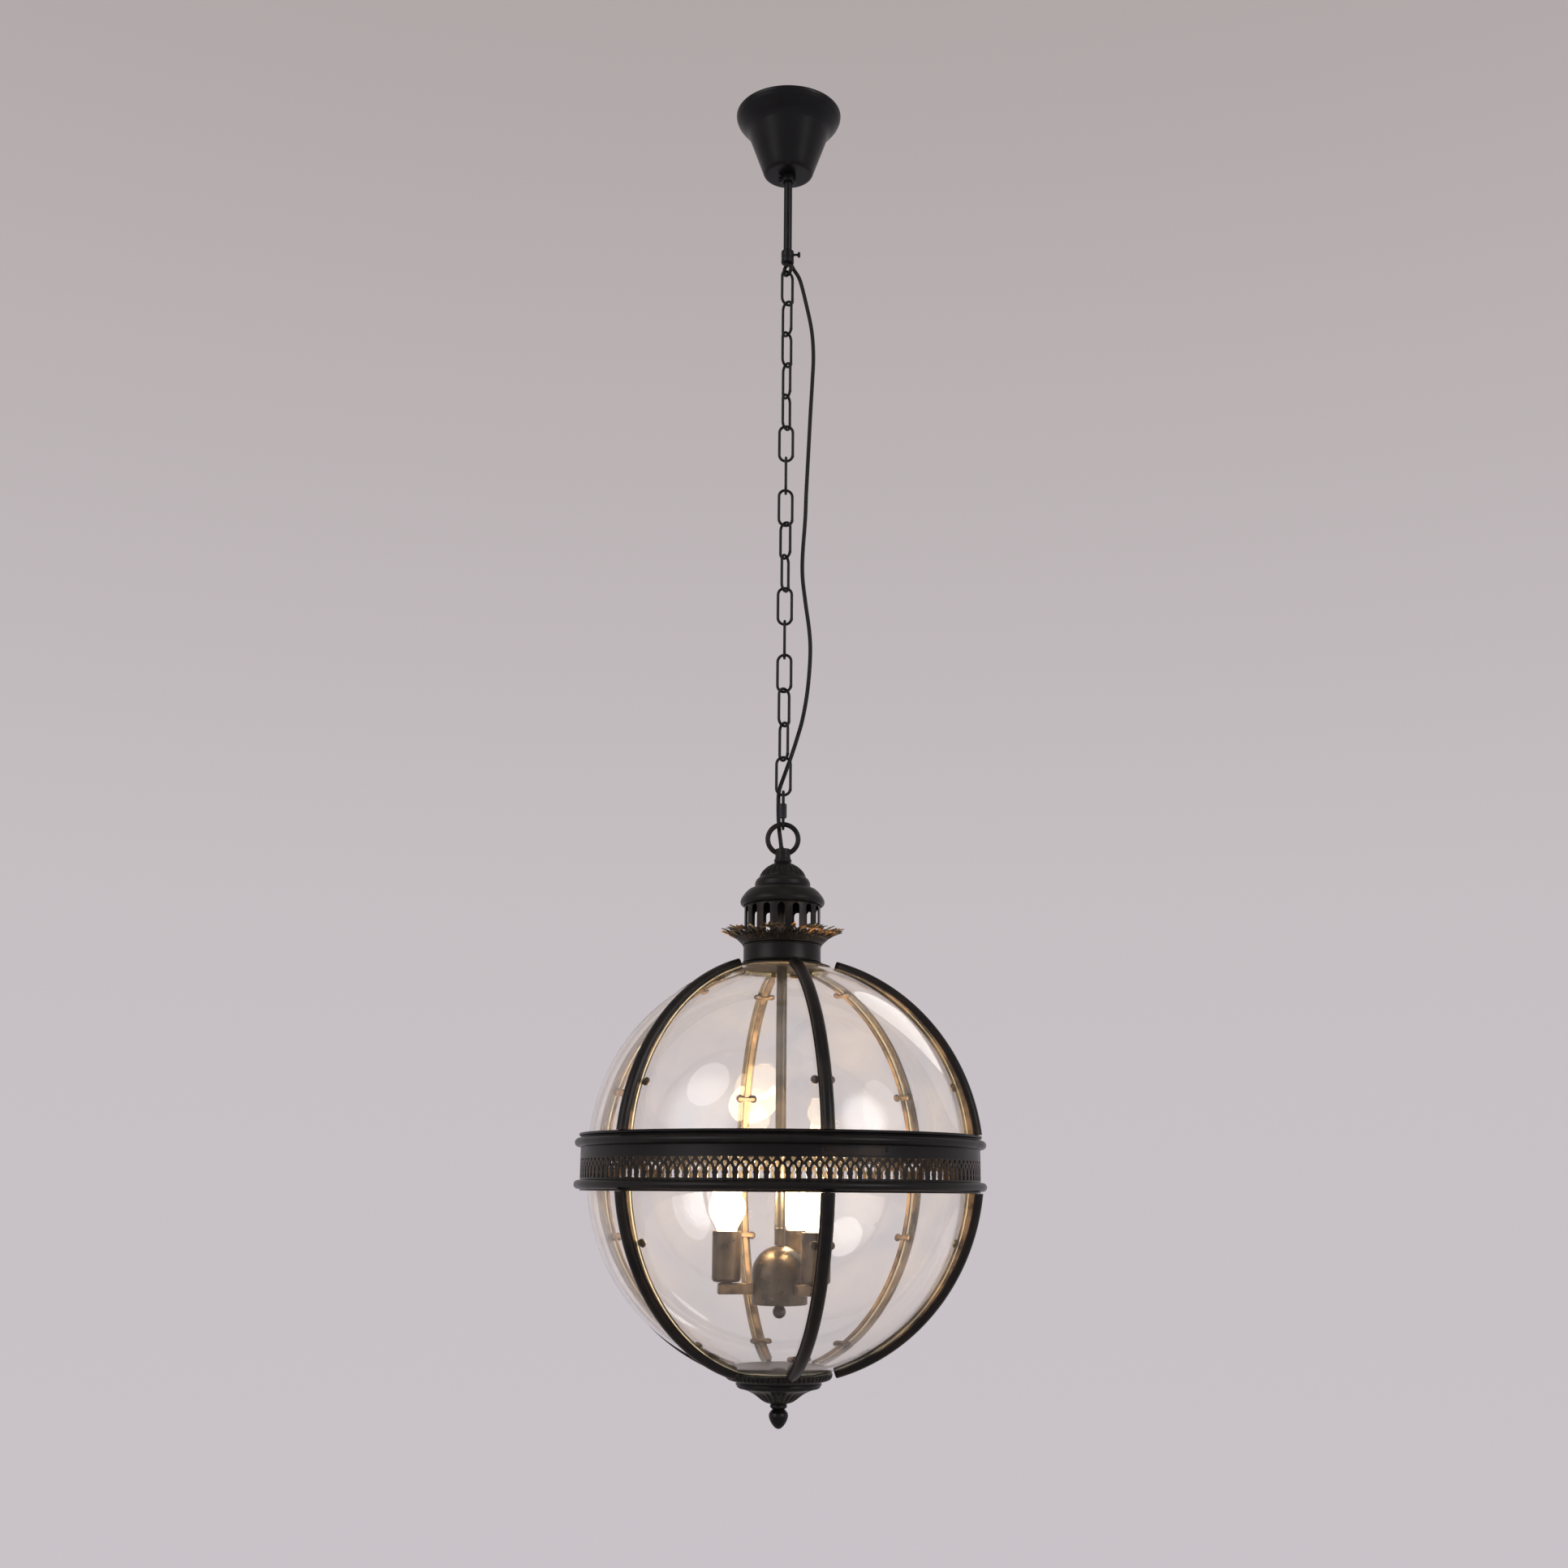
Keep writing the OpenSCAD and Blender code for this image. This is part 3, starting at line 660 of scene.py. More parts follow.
DRUM_R, DRUM_T = 38.4, 1.2
SLOTS, SLOT_TURN, SLOT_HALF = 16, -1.7, 3.65
drum_middle = DRUM_R - DRUM_T / 2
side = TAU * drum_middle / SLOTS / 2
spring, foot_z = -63.85, -92  # the slot's arch starts at the first height
slot_hole = [(SLOT_HALF * math.cos(a), spring + SLOT_HALF * math.sin(a)) for a in
             [math.pi * k / 12 for k in range(13)]]
for x, steps in ((-SLOT_HALF, (3, 2, 1, 0)), (SLOT_HALF, (0, 1, 2, 3))):
    slot_hole += [(x, foot_z + (spring - foot_z) * k / 4) for k in steps]
drum_cell = [(side * k / 2, -95) for k in range(-2, 3)]
drum_cell += [(side, z) for z in (-85, -75, -65)]
drum_cell += [(side * k / 2, -57) for k in range(2, -3, -1)]
drum_cell += [(-side, z) for z in (-65, -75, -85)]
drum = wrapped(cell("drum_cell", drum_cell, [slot_hole], DRUM_T), drum_middle, SLOTS, SLOT_TURN)
rims = [lathe([(DRUM_R - DRUM_T, z0), (DRUM_R, z0), (DRUM_R, z1), (DRUM_R - DRUM_T, z1)], 144,
              True, centre=(0, 0, NECK)) for z0, z1 in ((-57, -49.4), (-98.6, -95))]
build("vent_drum_sheet", *joined([drum, *rims]), *LANTERN, ["vent_drum"], angle=30,
      closed=False)

# ---- crown of scrolls ----


def flare(u, v):
    """A point on the crown's flare: u in degrees round it, v from 0 at its foot to 1."""
    r = 40.2 + 3.0 * v + 19.4 * v ** 1.5
    z = -96.4 + 13.4 * v ** 0.76
    a = math.radians(u)
    return Vector((r * math.sin(a), -r * math.cos(a), z)) * MM + Vector((0, 0, NECK))


def curl(centre, turn_from, turn_to, r_from, r_to, steps=18):
    """A spiral on the flare, as (u, v) pairs. u is stretched to match v."""
    out = []
    for k in range(steps + 1):
        t = k / steps
        a = math.radians(turn_from + (turn_to - turn_from) * t)
        r = r_from + (r_to - r_from) * t
        out.append((centre[0] + r * math.cos(a) * 26, centre[1] + r * math.sin(a)))
    return out


def strand(points, radius):
    """A rod on the flare that thins towards both ends."""
    def thick(t):
        full = 0.45 + 0.75 * math.sin(math.pi * min(1, t + 0.12)) ** 0.7 if t < 0.88 else 0.5
        return radius * MM * full

    return sweep([flare(u, v) for u, v in points], thick, 8)


def leaf(u, v0, v1, width, lean=0.0, steps=8):
    """A ridged pointed leaf on the flare."""
    verts = []
    for k in range(steps + 1):
        t = k / steps
        v = v0 + (v1 - v0) * t
        w = width * (math.sin(math.pi * min(1, 0.12 + t * 0.88)) ** 0.8) * (1 - 0.25 * t)
        mid = u + lean * t * t
        for side, lift in ((-1, 0.0), (-0.45, 0.55), (0, 1.25), (0.45, 0.55), (1, 0.0)):
            p = flare(mid + side * w, v)
            out = Vector((p.x, p.y, 0)).normalized() * 0.6 + Vector((0, 0, -0.5))
            verts.append(p + out * lift * MM)
        for side in (1, -1):
            p = flare(mid + side * w * 0.9, v)
            verts.append(p - Vector((p.x, p.y, 0)).normalized() * 0.7 * MM)
    return verts, skin(steps + 1, 7)


crown = []
for k in range(8):
    u = 45 * k - 11
    for s in (-1, 1):
        # an oval made of two C-scrolls that curl in at its top
        crown.append(strand(curl((u + s * 5.2, 0.47), 90 - s * 75, 90 + s * 250, 0.30, 0.08), 1.6))
        crown.append(strand([(u + s * 0.6, 0.14), (u + s * 5, 0.16), (u + s * 9.6, 0.22),
                             (u + s * 12.8, 0.40), (u + s * 13.4, 0.60), (u + s * 11, 0.78),
                             (u + s * 7.5, 0.82)], 1.65))
        crown.append(strand([(u + s * 22, 0.14), (u + s * 18.5, 0.30), (u + s * 17.5, 0.50),
                             (u + s * 20.5, 0.66)], 1.4))
        crown.append(leaf(u + s * 16.5, 0.20, 0.78, 2.6, s * -3.5))
        crown.append(leaf(u + s * 4.5, 0.70, 0.93, 2.8, s * 3.0))
        crown.append(leaf(u + s * 9.5, 0.72, 0.90, 2.4, s * 4.5))
    crown.append(leaf(u, 0.12, 0.56, 3.0))
    crown.append(leaf(u, 0.66, 1.0, 3.4))
    w = u + 22.5
    crown.append(leaf(w, 0.14, 0.66, 3.2))
    crown.append(leaf(w, 0.60, 0.97, 2.8))


def reeded(r, z, turn):
    """Fine reeds round the crown's foot."""
    if z > -97.6 and r > 39.4:
        r += 0.9 * (abs(math.sin(turn * 36)) ** 0.7 - 0.6) * min(1, (z + 97.6) / 3)
    return r, z


calyx = [(38.7, -98.5), (39.9, -98.5), (40.6, -97.9), (40.5, -96.9), (41.2, -96.2), (42.2, -94.2),
         (43.8, -92.3), (45.6, -91.2), (46.2, -91.6), (45.9, -92.3), (44.2, -93.4), (42.6, -95.2),
         (41.0, -97.2), (38.7, -97.6)]
foot = lathe(dense(soft(calyx, 0.3, closed=True), 1.0, True), 432, True, reeded, (0, 0, NECK))
build("crown_scrolls", *joined([foot, *crown]), "lantern", "aged_gold", GOLD, ["crown"],
      angle=45)

turned("collar_sheet", [(37.3, -98.8), (38.9, -98.8), (39.5, -99.5), (39.5, -100.1),
                        (38.8, -100.9), (38.8, -114.8), (39.4, -115.4), (39.5, -116.2),
                        (38.9, -116.7), (37.3, -116.7)], *LANTERN, ["neck_collar"], z=NECK,
       segments=160, closed=True, round_by=0.3)

# ---- globe ----

GLASS_R, GLASS_T = 188.0, 3.0
RIB_TURN, RIBS = 12.4, 6
RIB_BASE, RIB_HEIGHT, RIB_SHIFT = 195.0, 6.8, 6.6
RIB_END = 57  # radius where a rib stops
PANE_GAP = 2.6  # from the middle of a rib to the edge of a pane
CLIP_POLARS, CLIP_BASE = (27.5, 70.5), 181.5
# each half's middle, and what turns a shape built upwards into that half
UPPER = (-303.7, Matrix.Identity(4))
LOWER = (-324.2, Matrix.Scale(-1, 4, (0, 0, 1)))


def on_half(half, turn):
    """Places a shape in mm, built about the globe's middle, on a half of the globe."""
    return Matrix.Translation((0, 0, NECK + half[0] * MM)) @ half[1] @ spin(turn) @ \
        Matrix.Scale(MM, 4)


def on_globe(radius, polar, across):
    """A point on the front meridian, measured from straight up, in mm."""
    a = math.radians(polar)
    return Vector((across, -radius * math.sin(a), radius * math.cos(a)))


def meridians(name, half, stop, section, inner, slot, material, nodes=()):
    """Bars along the panes' joints. section holds (across, height over the bars' base)."""
    start = math.degrees(math.asin(RIB_END / (RIB_BASE + RIB_HEIGHT)))
    # how far along, share of the height and share of the width: a tongue at the neck's end
    rows = [(0, 0.86, 0.3), (0.0015, 0.95, 0.42), (0.004, 1, 0.55), (0.009, 1, 0.72),
            (0.016, 1, 0.86), (0.026, 1, 0.96), (0.04, 1, 1)]
    rows += [(0.04 + 0.96 * i / 46, 1, 1) for i in range(1, 47)]
    verts = []
    for t, tall, wide in rows:
        for x, h in section:
            radius = RIB_BASE + h * tall
            end = math.degrees(math.acos((stop + RIB_SHIFT) / radius))
            polar = start + (end - start) * t
            if h < 0:
                a = math.radians(polar)
                radius = RIB_SHIFT * math.cos(a) + \
                    math.sqrt(inner ** 2 - (RIB_SHIFT * math.sin(a)) ** 2)
            verts.append(on_globe(radius, polar, x * wide))
    bar = verts, skin(len(rows), len(section))
    parts = [moved(bar, on_half(half, RIB_TURN + 60 * k)
                   @ Matrix.Translation((0, 0, -RIB_SHIFT))) for k in range(RIBS)]
    return build(name, *joined(parts), "lantern", slot, material, nodes, angle=42)


def ribs(name, half, stop):
    """Half-round mouldings with a quirk along each side, on spacers that fit the panes."""
    moulding = [(-6.5, 0), (-6.5, 0.9), (-6.25, 1.3), (-5.75, 1.35)]
    moulding += [(-5.6 * math.cos(a), 1.7 + 5.1 * math.sin(a) ** 0.85) for a in
                 [math.pi * k / 16 for k in range(17)]]
    moulding += [(5.75, 1.35), (6.25, 1.3), (6.5, 0.9), (6.5, 0)]
    meridians(f"{name}_rib_mouldings", half, stop, moulding, 0, "black_metal", BLACK,
              [f"{name}_ribs"])
    spacer = [(-3.5, -1), (-3.5, 0.05), (3.5, 0.05), (3.5, -1)]
    meridians(f"{name}_rib_spacers", half, stop, spacer, GLASS_R + 0.35, "dark_bronze", STRIP)


ribs("upper", UPPER, 17.8)
ribs("lower", LOWER, 16.2)


def panes(name, half, mouth, edge, nodes):
    """Six curved panes with ground edges."""
    start = math.degrees(math.asin(mouth / GLASS_R))
    end = math.degrees(math.acos(edge / GLASS_R))
    rows, cols = 40, 36
    verts, faces = [], []
    for radius in (GLASS_R, GLASS_R - GLASS_T):
        for i in range(rows + 1):
            polar = math.radians(start + (end - start) * i / rows)
            ring = radius * math.sin(polar)
            lim = math.pi / RIBS - math.asin(PANE_GAP / ring)
            for j in range(cols + 1):
                turn = lim * (2 * j / cols - 1)
                verts.append(Vector((ring * math.sin(turn), -ring * math.cos(turn),
                                     radius * math.cos(polar))))
    base = (rows + 1) * (cols + 1)

    def at(i, j):
        return i * (cols + 1) + j

    for i in range(rows):
        for j in range(cols):
            quad = [at(i, j), at(i, j + 1), at(i + 1, j + 1), at(i + 1, j)]
            faces += [quad, [base + v for v in quad[::-1]]]
    border = [at(0, j) for j in range(cols)] + [at(i, cols) for i in range(rows)] + \
        [at(rows, j) for j in range(cols, 0, -1)] + [at(i, 0) for i in range(rows, 0, -1)]
    for a, b in zip(border, border[1:] + border[:1]):
        faces.append([a, base + a, base + b, b])
    parts = [moved((verts, faces), on_half(half, RIB_TURN + 30 + 60 * k)) for k in range(RIBS)]
    piece = build(name, *joined(parts), "lantern", "clear_glass", GLASS, nodes, angle=30)
    piece.data.materials.append(GLASS_EDGE)
    centre = Vector((0, 0, NECK + half[0] * MM))
    for polygon in piece.data.polygons:
        outward = (piece.matrix_world @ polygon.center - centre).normalized()
        if abs(polygon.normal.dot(outward)) < 0.5:
            polygon.material_index = 1


panes("upper_panes", UPPER, 40, 0.1, ["upper_glass"])
panes("lower_panes", LOWER, 46.6, 5.9, ["lower_glass"])


def clips(name, half, nodes):
    """A bar across each strip, with a domed button on either end."""
    bar = moved(chamfered_bar(-7.2, 7.2, 4.4, 0.5), Matrix.Translation((0, 0, 0.8))
                @ Matrix.Rotation(math.pi / 2, 4, "Z") @ Matrix.Scale(0.36, 4, (0, 0, 1)))
    dome = lathe(soft([(0, 0.1), (2.2, 0.2), (3.5, 0.7), (4, 1.5), (4, 2.9), (0, 2.9)], 0.3), 28)
    clip = joined([bar, *(moved(dome, Matrix.Translation((x, 0, 0)) @ Matrix.Scale(1 / MM, 4))
                          for x in (-7.2, 7.2))])
    parts = [moved(clip, on_half(half, RIB_TURN + 60 * k)
                   @ Matrix.Rotation(math.radians(polar), 4, "X")
                   @ Matrix.Translation((0, 0, CLIP_BASE)))
             for k in range(RIBS) for polar in CLIP_POLARS]
    build(name, *joined(parts), "lantern", "dark_bronze", STRIP, nodes, angle=40)


clips("upper_pane_clips", UPPER, ["upper_clips"])
clips("lower_pane_clips", LOWER, ["lower_clips"])

# ---- band ----

BAND_R = 194.6
cells = 132
pitch = TAU * (BAND_R - 0.7) / cells
half_w = pitch / 2
fret_top, fret_foot = -309.4, -329.0
keyhole = [(-2.4, -328.3), (-2.35, -325.2), (-1.6, -323.8), (-2.05, -322.7), (-2.25, -321.3),
           (-2.1, -319.8), (-1.6, -318.4), (-0.8, -317.2), (0, -316.6)]
keyhole += [(-x, y) for x, y in keyhole[-2::-1]]
triangle = [(-2.7, -310.4), (-1.3, -310.1), (0, -310.7), (1.3, -310.1), (2.7, -310.4),
            (1.5, -312.2), (0, -314.4), (-1.5, -312.2)]
kite = [(0, -313.4), (1.2, -313.9), (1.85, -315.0), (1.25, -317.0), (0.5, -318.7)]
border = [(-half_w, fret_foot), (0, fret_foot), (half_w, fret_foot)]


def half_kite(side):
    """The border's own half of the kite that lies across two repeats."""
    pts = [(side * (half_w - x), y) for x, y in kite[:0:-1]]
    return [(side * half_w, kite[-1][1]), *pts, (side * half_w, kite[0][1])]


outline = border + half_kite(1) + [(half_w, fret_top), (0, fret_top), (-half_w, fret_top)] + \
    half_kite(-1)[::-1]
fret = wrapped(cell("fret_cell", outline, [keyhole, triangle], 1.4), BAND_R - 0.7, cells, 0.6)
r = BAND_R
walls = [
    lathe(soft([(r - 1.4, fret_top), (r - 1.4, -286.2), (r - 0.6, -285.9), (r + 1.2, -286.0),
                (r + 1.9, -286.8), (r + 1.7, -288.2), (r + 0.3, -289.2), (r, -290.6),
                (r, fret_top)], 0.3), 260, centre=(0, 0, NECK)),
    lathe(soft([(r, fret_foot), (r, -340.0), (r - 0.5, -340.3), (r - 1.4, -340.2),
                (r - 1.4, fret_foot)], 0.2), 260, centre=(0, 0, NECK)),
    *(lathe([(r - 1.4, z), (inner, z), (inner, z - 1.2), (r - 1.4, z - 1.2)], 200, True,
            centre=(0, 0, NECK)) for inner, z in ((184.5, -304.0), (188.6, -330.2))),
]
# the lapped end of the strip: a second skin a little proud of the wall, with a fold line
lap = []
for u0, u1, z0, z1, lift in ((10.6, 30.0, -308.6, -299.9, 0.32),
                             (9.6, 30.6, -301.3, -300.7, 0.6)):
    verts, faces = [], []
    steps = 24
    for i in range(steps + 1):
        a = math.radians(u0 + (u1 - u0) * i / steps)
        for rr, z in ((r - 0.05, z0), (r + lift, z0 + 0.25), (r + lift, z1 - 0.25), (r - 0.05, z1)):
            verts.append(Vector((rr * MM * math.sin(a), -rr * MM * math.cos(a), NECK + z * MM)))
    for i in range(steps):
        for j in range(3):
            faces.append([i * 4 + j, i * 4 + j + 1, (i + 1) * 4 + j + 1, (i + 1) * 4 + j])
    faces += [[0, 3, 2, 1], [steps * 4 + j for j in range(4)]]
    lap.append((verts, faces))
build("band_strip", *joined([fret, *walls]), *LANTERN, ["band"], angle=30,
      closed=False)
build("band_lap", *joined(lap), *LANTERN, angle=30)


def bead(name, z, nodes):
    profile = [(r + 0.05, -4.5)]
    for k in range(17):
        a = math.pi * k / 16
        profile.append((r + 0.9 + 5.0 * math.sin(a) ** 0.9, -4.3 * math.cos(a)))
    profile.append((r + 0.05, 4.5))
    turned(name, profile, *LANTERN, nodes, z=NECK + z * MM, segments=260,
           closed=True, round_by=0.15)


bead("upper_bead_roll", -294.8, ["upper_bead"])
bead("lower_bead_roll", -334.4, ["lower_bead"])

head = lathe(soft([(0, 1.1), (0.9, 1.0), (1.7, 0.5), (2.0, 0), (2.0, -0.4), (0, -0.4)], 0.3), 28)
rivets = [moved(head, spin(turn) @ Matrix.Translation((0, -BAND_R * MM, NECK - 303.2 * MM))
                @ Matrix.Rotation(math.radians(90), 4, "X")) for turn in (11.6, 29.0)]
build("band_rivet_heads", *joined(rivets), *LANTERN, ["band_rivets"])

# ---- lamp cluster ----


def arc(radius, middle, first, last, step):
    """Profile points on a ball, by their angle from straight up."""
    return [(radius * math.sin(a), middle + radius * math.cos(a)) for a in
            [math.radians(d) for d in range(first, last, step)]]


def lamp_place(k):
    return spin(ARM_TURN + 120 * k) @ Vector((0, -HOLDER_AT * MM, 0))


ARM_TURN, HOLDER_AT = 41, 52.0
turned("centre_pipe", [(0, -390.3), (5.25, -390.3), (5.25, -376), (5.5, -375.6), (5.5, -374.4),
                       (5.25, -374), (5.25, -41.5), (0, -41.5)], "lantern", "dark_bronze", TUBE,
       ["centre_tube"], z=NECK, segments=48, round_by=0.3)
hub = [(0, -390.5), (3, -390.6)]
hub += arc(27.2, -417.9, 10, 91, 4)
hub += [(27.2, -424), (27.2, -444.2), (26.4, -445.5), (24.6, -445.7), (3, -445.7), (0, -445.7)]
turned("hub_shell", hub, *LAMP, ["hub_dome"], z=NECK, segments=96,
       round_by=0.3)
ball = [(0, 0.3), (2.4, 0.2), (2.4, -0.3), (3.2, -0.9)]
ball += arc(6.4, -6.4, 35, 181, 8)
ball[-1] = (0, -12.75)
turned("hub_ball_nut", ball, "hub_finial", "dark_bronze", BRONZE, ["hub_finial"],
       z=NECK - 445.9 * MM, segments=48, round_by=0.2)

arms, holders, sockets = [], [], []
for k in range(3):
    bar = chamfered_bar(-HOLDER_AT - 8, -26.4, 10.2, 1.1)
    arms.append(moved(bar, Matrix.Translation((0, 0, NECK - 430.7 * MM))
                      @ spin(ARM_TURN + 120 * k) @ Matrix.Scale(MM, 4)))
    at = lamp_place(k)
    cup = [(0, -1.0), (5.6, -1.0), (5.6, 0), (10.8, 0.05), (12.6, 0.6), (13.6, 1.8), (14, 3.4),
           (14.05, 46.4), (14, 47.4), (12.9, 47.4), (12.9, 4), (10, 1.8), (0, 1.8)]
    holders.append(lathe(soft(cup, 0.4), 64, centre=(at.x, at.y, NECK - 424.6 * MM)))
    tube = [(0, 2), (10.4, 2), (10.4, 42.5), (9.8, 43.4), (7.8, 43.4), (7.5, 42.6), (7.5, 14),
            (0, 14)]
    sockets.append(lathe(soft(tube, 0.4), 48, centre=(at.x, at.y, NECK - 424.6 * MM)))
build("lamp_arm_tubes", *joined(arms), *LAMP, ["lamp_arms"], angle=50)
build("lamp_holder_cups", *joined(holders), *LAMP, ["lamp_holders"])
build("lamp_socket_tubes", *joined(sockets), "lantern", "ceramic_white", CERAMIC,
      ["lamp_sockets"])
for k in range(3):
    at = lamp_place(k)
    glass = [(0, 18), (4, 17.6), (8, 16.2), (12, 13.4), (15.4, 9.3), (17.4, 4.6), (18, 0),
             (17.6, -4.4), (16.2, -8.8), (13.8, -13), (11.4, -17), (9.8, -20.4), (9.4, -23),
             (6.9, -24.5)]
    screw_cap = [(6.9 - 0.35 * (i % 2), -25 - i * 1.6) for i in range(13)]
    body = glass + screw_cap + [(5, -47.5), (3, -49.8), (0, -50)]
    turned(f"bulb_{k + 1}_glass", body, f"bulb_{k + 1}", "bulb_glass", BULB, [f"bulb_{k + 1}"],
           z=NECK - 355 * MM, segments=64, round_by=0.5, at=(at.x, at.y), angle=60)

# ---- foot ----

turned("bottom_plate_disc", [(0, -503.7), (45.4, -503.7), (46.2, -504.3), (44, -506.8),
                             (3, -506.8), (3, -551), (0, -551)], *LANTERN,
       ["bottom_plate"], z=NECK, segments=96, round_by=0.3)


def gadroon(rr, z, turn):
    """Lobes on the rim, a cord on the second ring and flutes on the bell."""
    if -514.3 < z < -508.0 and rr > 46:
        t = (z + 514.3) / 6.3
        rr += 1.7 * math.sin(math.pi * t) ** 0.4 * (abs(math.sin(turn * 33)) ** 0.6 - 1)
    elif -521.8 < z < -519.6 and rr > 36.8:
        rr += 0.8 * (abs(math.sin(turn * 43)) ** 0.7 - 1)
    elif -535.2 < z < -522.5 and rr > 10.5:
        t = (z + 535.2) / 12.7
        rr *= 1 + 0.13 * math.sin(math.pi * t) ** 0.6 * (abs(math.cos(turn * 12)) ** 0.7 - 0.9)
    return rr, z


CUP = [(44.2, -507), (49.4, -507), (50.6, -507.3), (51.2, -508.2), (51.35, -509.4),
       (51.1, -511.0), (50.3, -512.5), (49.0, -513.6), (46.8, -514.4), (43.6, -514.9),
       (42.0, -515.5), (41.4, -516.2), (40.6, -516.5), (40.9, -517.2), (41.1, -518.0),
       (40.8, -519.0), (39.9, -519.4), (40.0, -520.1), (39.6, -520.8), (38.6, -521.5),
       (37.0, -521.9), (35.6, -522.2), (33.0, -523.0), (29.6, -524.2), (25.6, -526.0),
       (22.6, -527.9), (19.8, -530.0), (17.0, -532.2), (14.4, -533.9), (12.0, -535.0),
       (9.6, -535.6), (8.4, -536.0), (7.6, -536.6), (8.1, -537.4), (8.2, -538.4),
       (7.8, -539.4), (6.8, -540.0), (6.2, -540.8), (3.15, -540.8), (3.15, -537.4),
       (6.6, -536.0), (10, -533.7), (20, -527.4), (26.4, -524.0), (34, -520.8), (37, -519.0),
       (39.4, -515.0), (44.2, -512.6)]
turned("bottom_cup_shell", CUP, *LANTERN, ["bottom_cup"], z=NECK,
       segments=360, closed=True, shape=gadroon, round_by=0.3, step=1.0, angle=55)
turned("acorn_knob", [(0, -541.15), (5.6, -541.15), (6.8, -541.6), (7.4, -542.6), (8.6, -543.8),
                      (9.3, -546.2), (9.1, -548.4), (8.1, -551.2), (6.6, -553.9), (4.6, -556.4),
                      (2.4, -558.3), (0, -558.9)], "acorn_finial", "black_metal", BLACK,
       ["acorn_finial"], z=NECK, segments=64, round_by=1.2, steps=4)

# ---- hidden pieces that keep their own solids ----

for name, material in (("ceiling_bracket", STEEL), ("bracket_nut", STEEL),
                       ("terminal_block", CERAMIC), ("top_plate", BLACK),
                       ("upper_strips", STRIP), ("lower_strips", STRIP)):
    mesh = frame["nodes"][name].data
    mesh.materials.clear()
    mesh.materials.append(material)
    if "strips" in name:
        for polygon in mesh.polygons:
            polygon.use_smooth = True
        mesh.set_sharp_from_angle(angle=math.radians(30))

# ---- cable ----

ROUTE = [
    (3.7, 2.9, 0), (8, 5, -6), (14, 6, -17), (21, 6, -46), (27, 6, -77), (29, 6, -107),
    (28, 6, -137), (26, 5, -177), (24, 5, -222), (22, 5, -267), (21, 5, -297), (18.5, 5, -337),
    (18.5, 5, -362), (21.5, 5, -389), (26, 5, -423), (27, 5, -449), (24.5, 7, -485),
    (19.5, 9, -516), (13.5, 11, -538), (7, 10.5, -559), (1, 8, -577), (-4.3, 5.4, -594),
    (-5, 5.2, -608), (-4.8, 5.2, -622), (-4, 5.3, -635), (-2.6, 5.3, -646), (-1.3, 5, -656.3)]
ROUTE_DROP = 656.3
CABLE_D = 4.2 * MM
drop = COUPLING - NECK
route = [Vector((x * MM, y * MM, COUPLING + z / ROUTE_DROP * drop)) for x, y, z in ROUTE]


def spline(points, steps):
    """A smooth line through the points."""
    out = []
    last = len(points) - 1
    for i in range(last):
        a, b, c, d = (points[max(0, min(last, i + k))] for k in (-1, 0, 1, 2))
        for s in range(steps):
            t = s / steps
            out.append(0.5 * ((2 * b) + (c - a) * t + (2 * a - 5 * b + 4 * c - d) * t * t
                              + (3 * b - a - 3 * c + d) * t ** 3))
    out.append(points[-1])
    return out


def length_of(line):
    return sum((q - p).length for p, q in zip(line, line[1:]))


def even(line, gap):
    """The line with points about gap apart."""
    total = length_of(line)
    n = max(2, round(total / gap))
    out, run, i = [line[0]], 0.0, 0
    for k in range(1, n):
        goal = total * k / n
        while run + (line[i + 1] - line[i]).length < goal:
            run += (line[i + 1] - line[i]).length
            i += 1
        part = (line[i + 1] - line[i]).length
        out.append(line[i].lerp(line[i + 1], (goal - run) / part))
    out.append(line[-1])
    return out


cable = even(spline(route, 12), 0.0022)
pivots = [JOINTS[n]["pos_m"][2] for n in ("loop_swing", "chain_swing", "quick_link_swing",
                                          "lantern_swing")]
cuts = [(pivots[0] + pivots[1]) / 2, pivots[1] - 0.06, (pivots[2] + pivots[3]) / 2]
pieces = []
line = cable
for cut in cuts:
    at = min(range(len(line)), key=lambda i: abs(line[i].z - cut))
    pieces.append(line[:at + 1])
    line = line[at:]
pieces.append(line)
BODIES = [("ceiling_part", "first_link"), ("first_link", "chain"), ("chain", "quick_link"),
          ("quick_link", "lantern")]
SPANS = [(COUPLING, pieces[0][-1].z + 0.004), (pieces[1][0].z - 0.004, pieces[1][-1].z + 0.004),
         (pivots[2] + 0.03, pieces[2][-1].z + 0.003), (pieces[3][0].z - 0.003, NECK + 0.006)]
for i, (line, (a, b), (top, foot_z)) in enumerate(zip(pieces, BODIES, SPANS)):
    piece = build(f"power_cable_{i + 1}", *sweep(line, CABLE_D / 2, 16), None, "cable_black",
                  RUBBER, ["power_cable"] if i == 0 else [], 60)
    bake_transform(piece)


def bushing(name, end, way, body):
    """A short tapered rubber sleeve where the cable leaves a hard edge."""
    sleeve = [(2.12, 0), (2.75, 0), (2.75, 0.8), (2.55, 1.1), (2.4, 2.6), (2.3, 3.6), (2.12, 4.2)]
    verts, faces = lathe(soft(sleeve, 0.2, closed=True), 32, True)
    turn = Vector((0, 0, 1)).rotation_difference(way.normalized()).to_matrix().to_4x4()
    build(name, *moved((verts, faces), Matrix.Translation(end) @ turn), body, "cable_black",
          RUBBER)


bushing("coupling_bushing", cable[0], cable[2] - cable[0], "ceiling_part")
bushing("neck_bushing", cable[-1], cable[-3] - cable[-1], "lantern")

# ---- stage and light ----


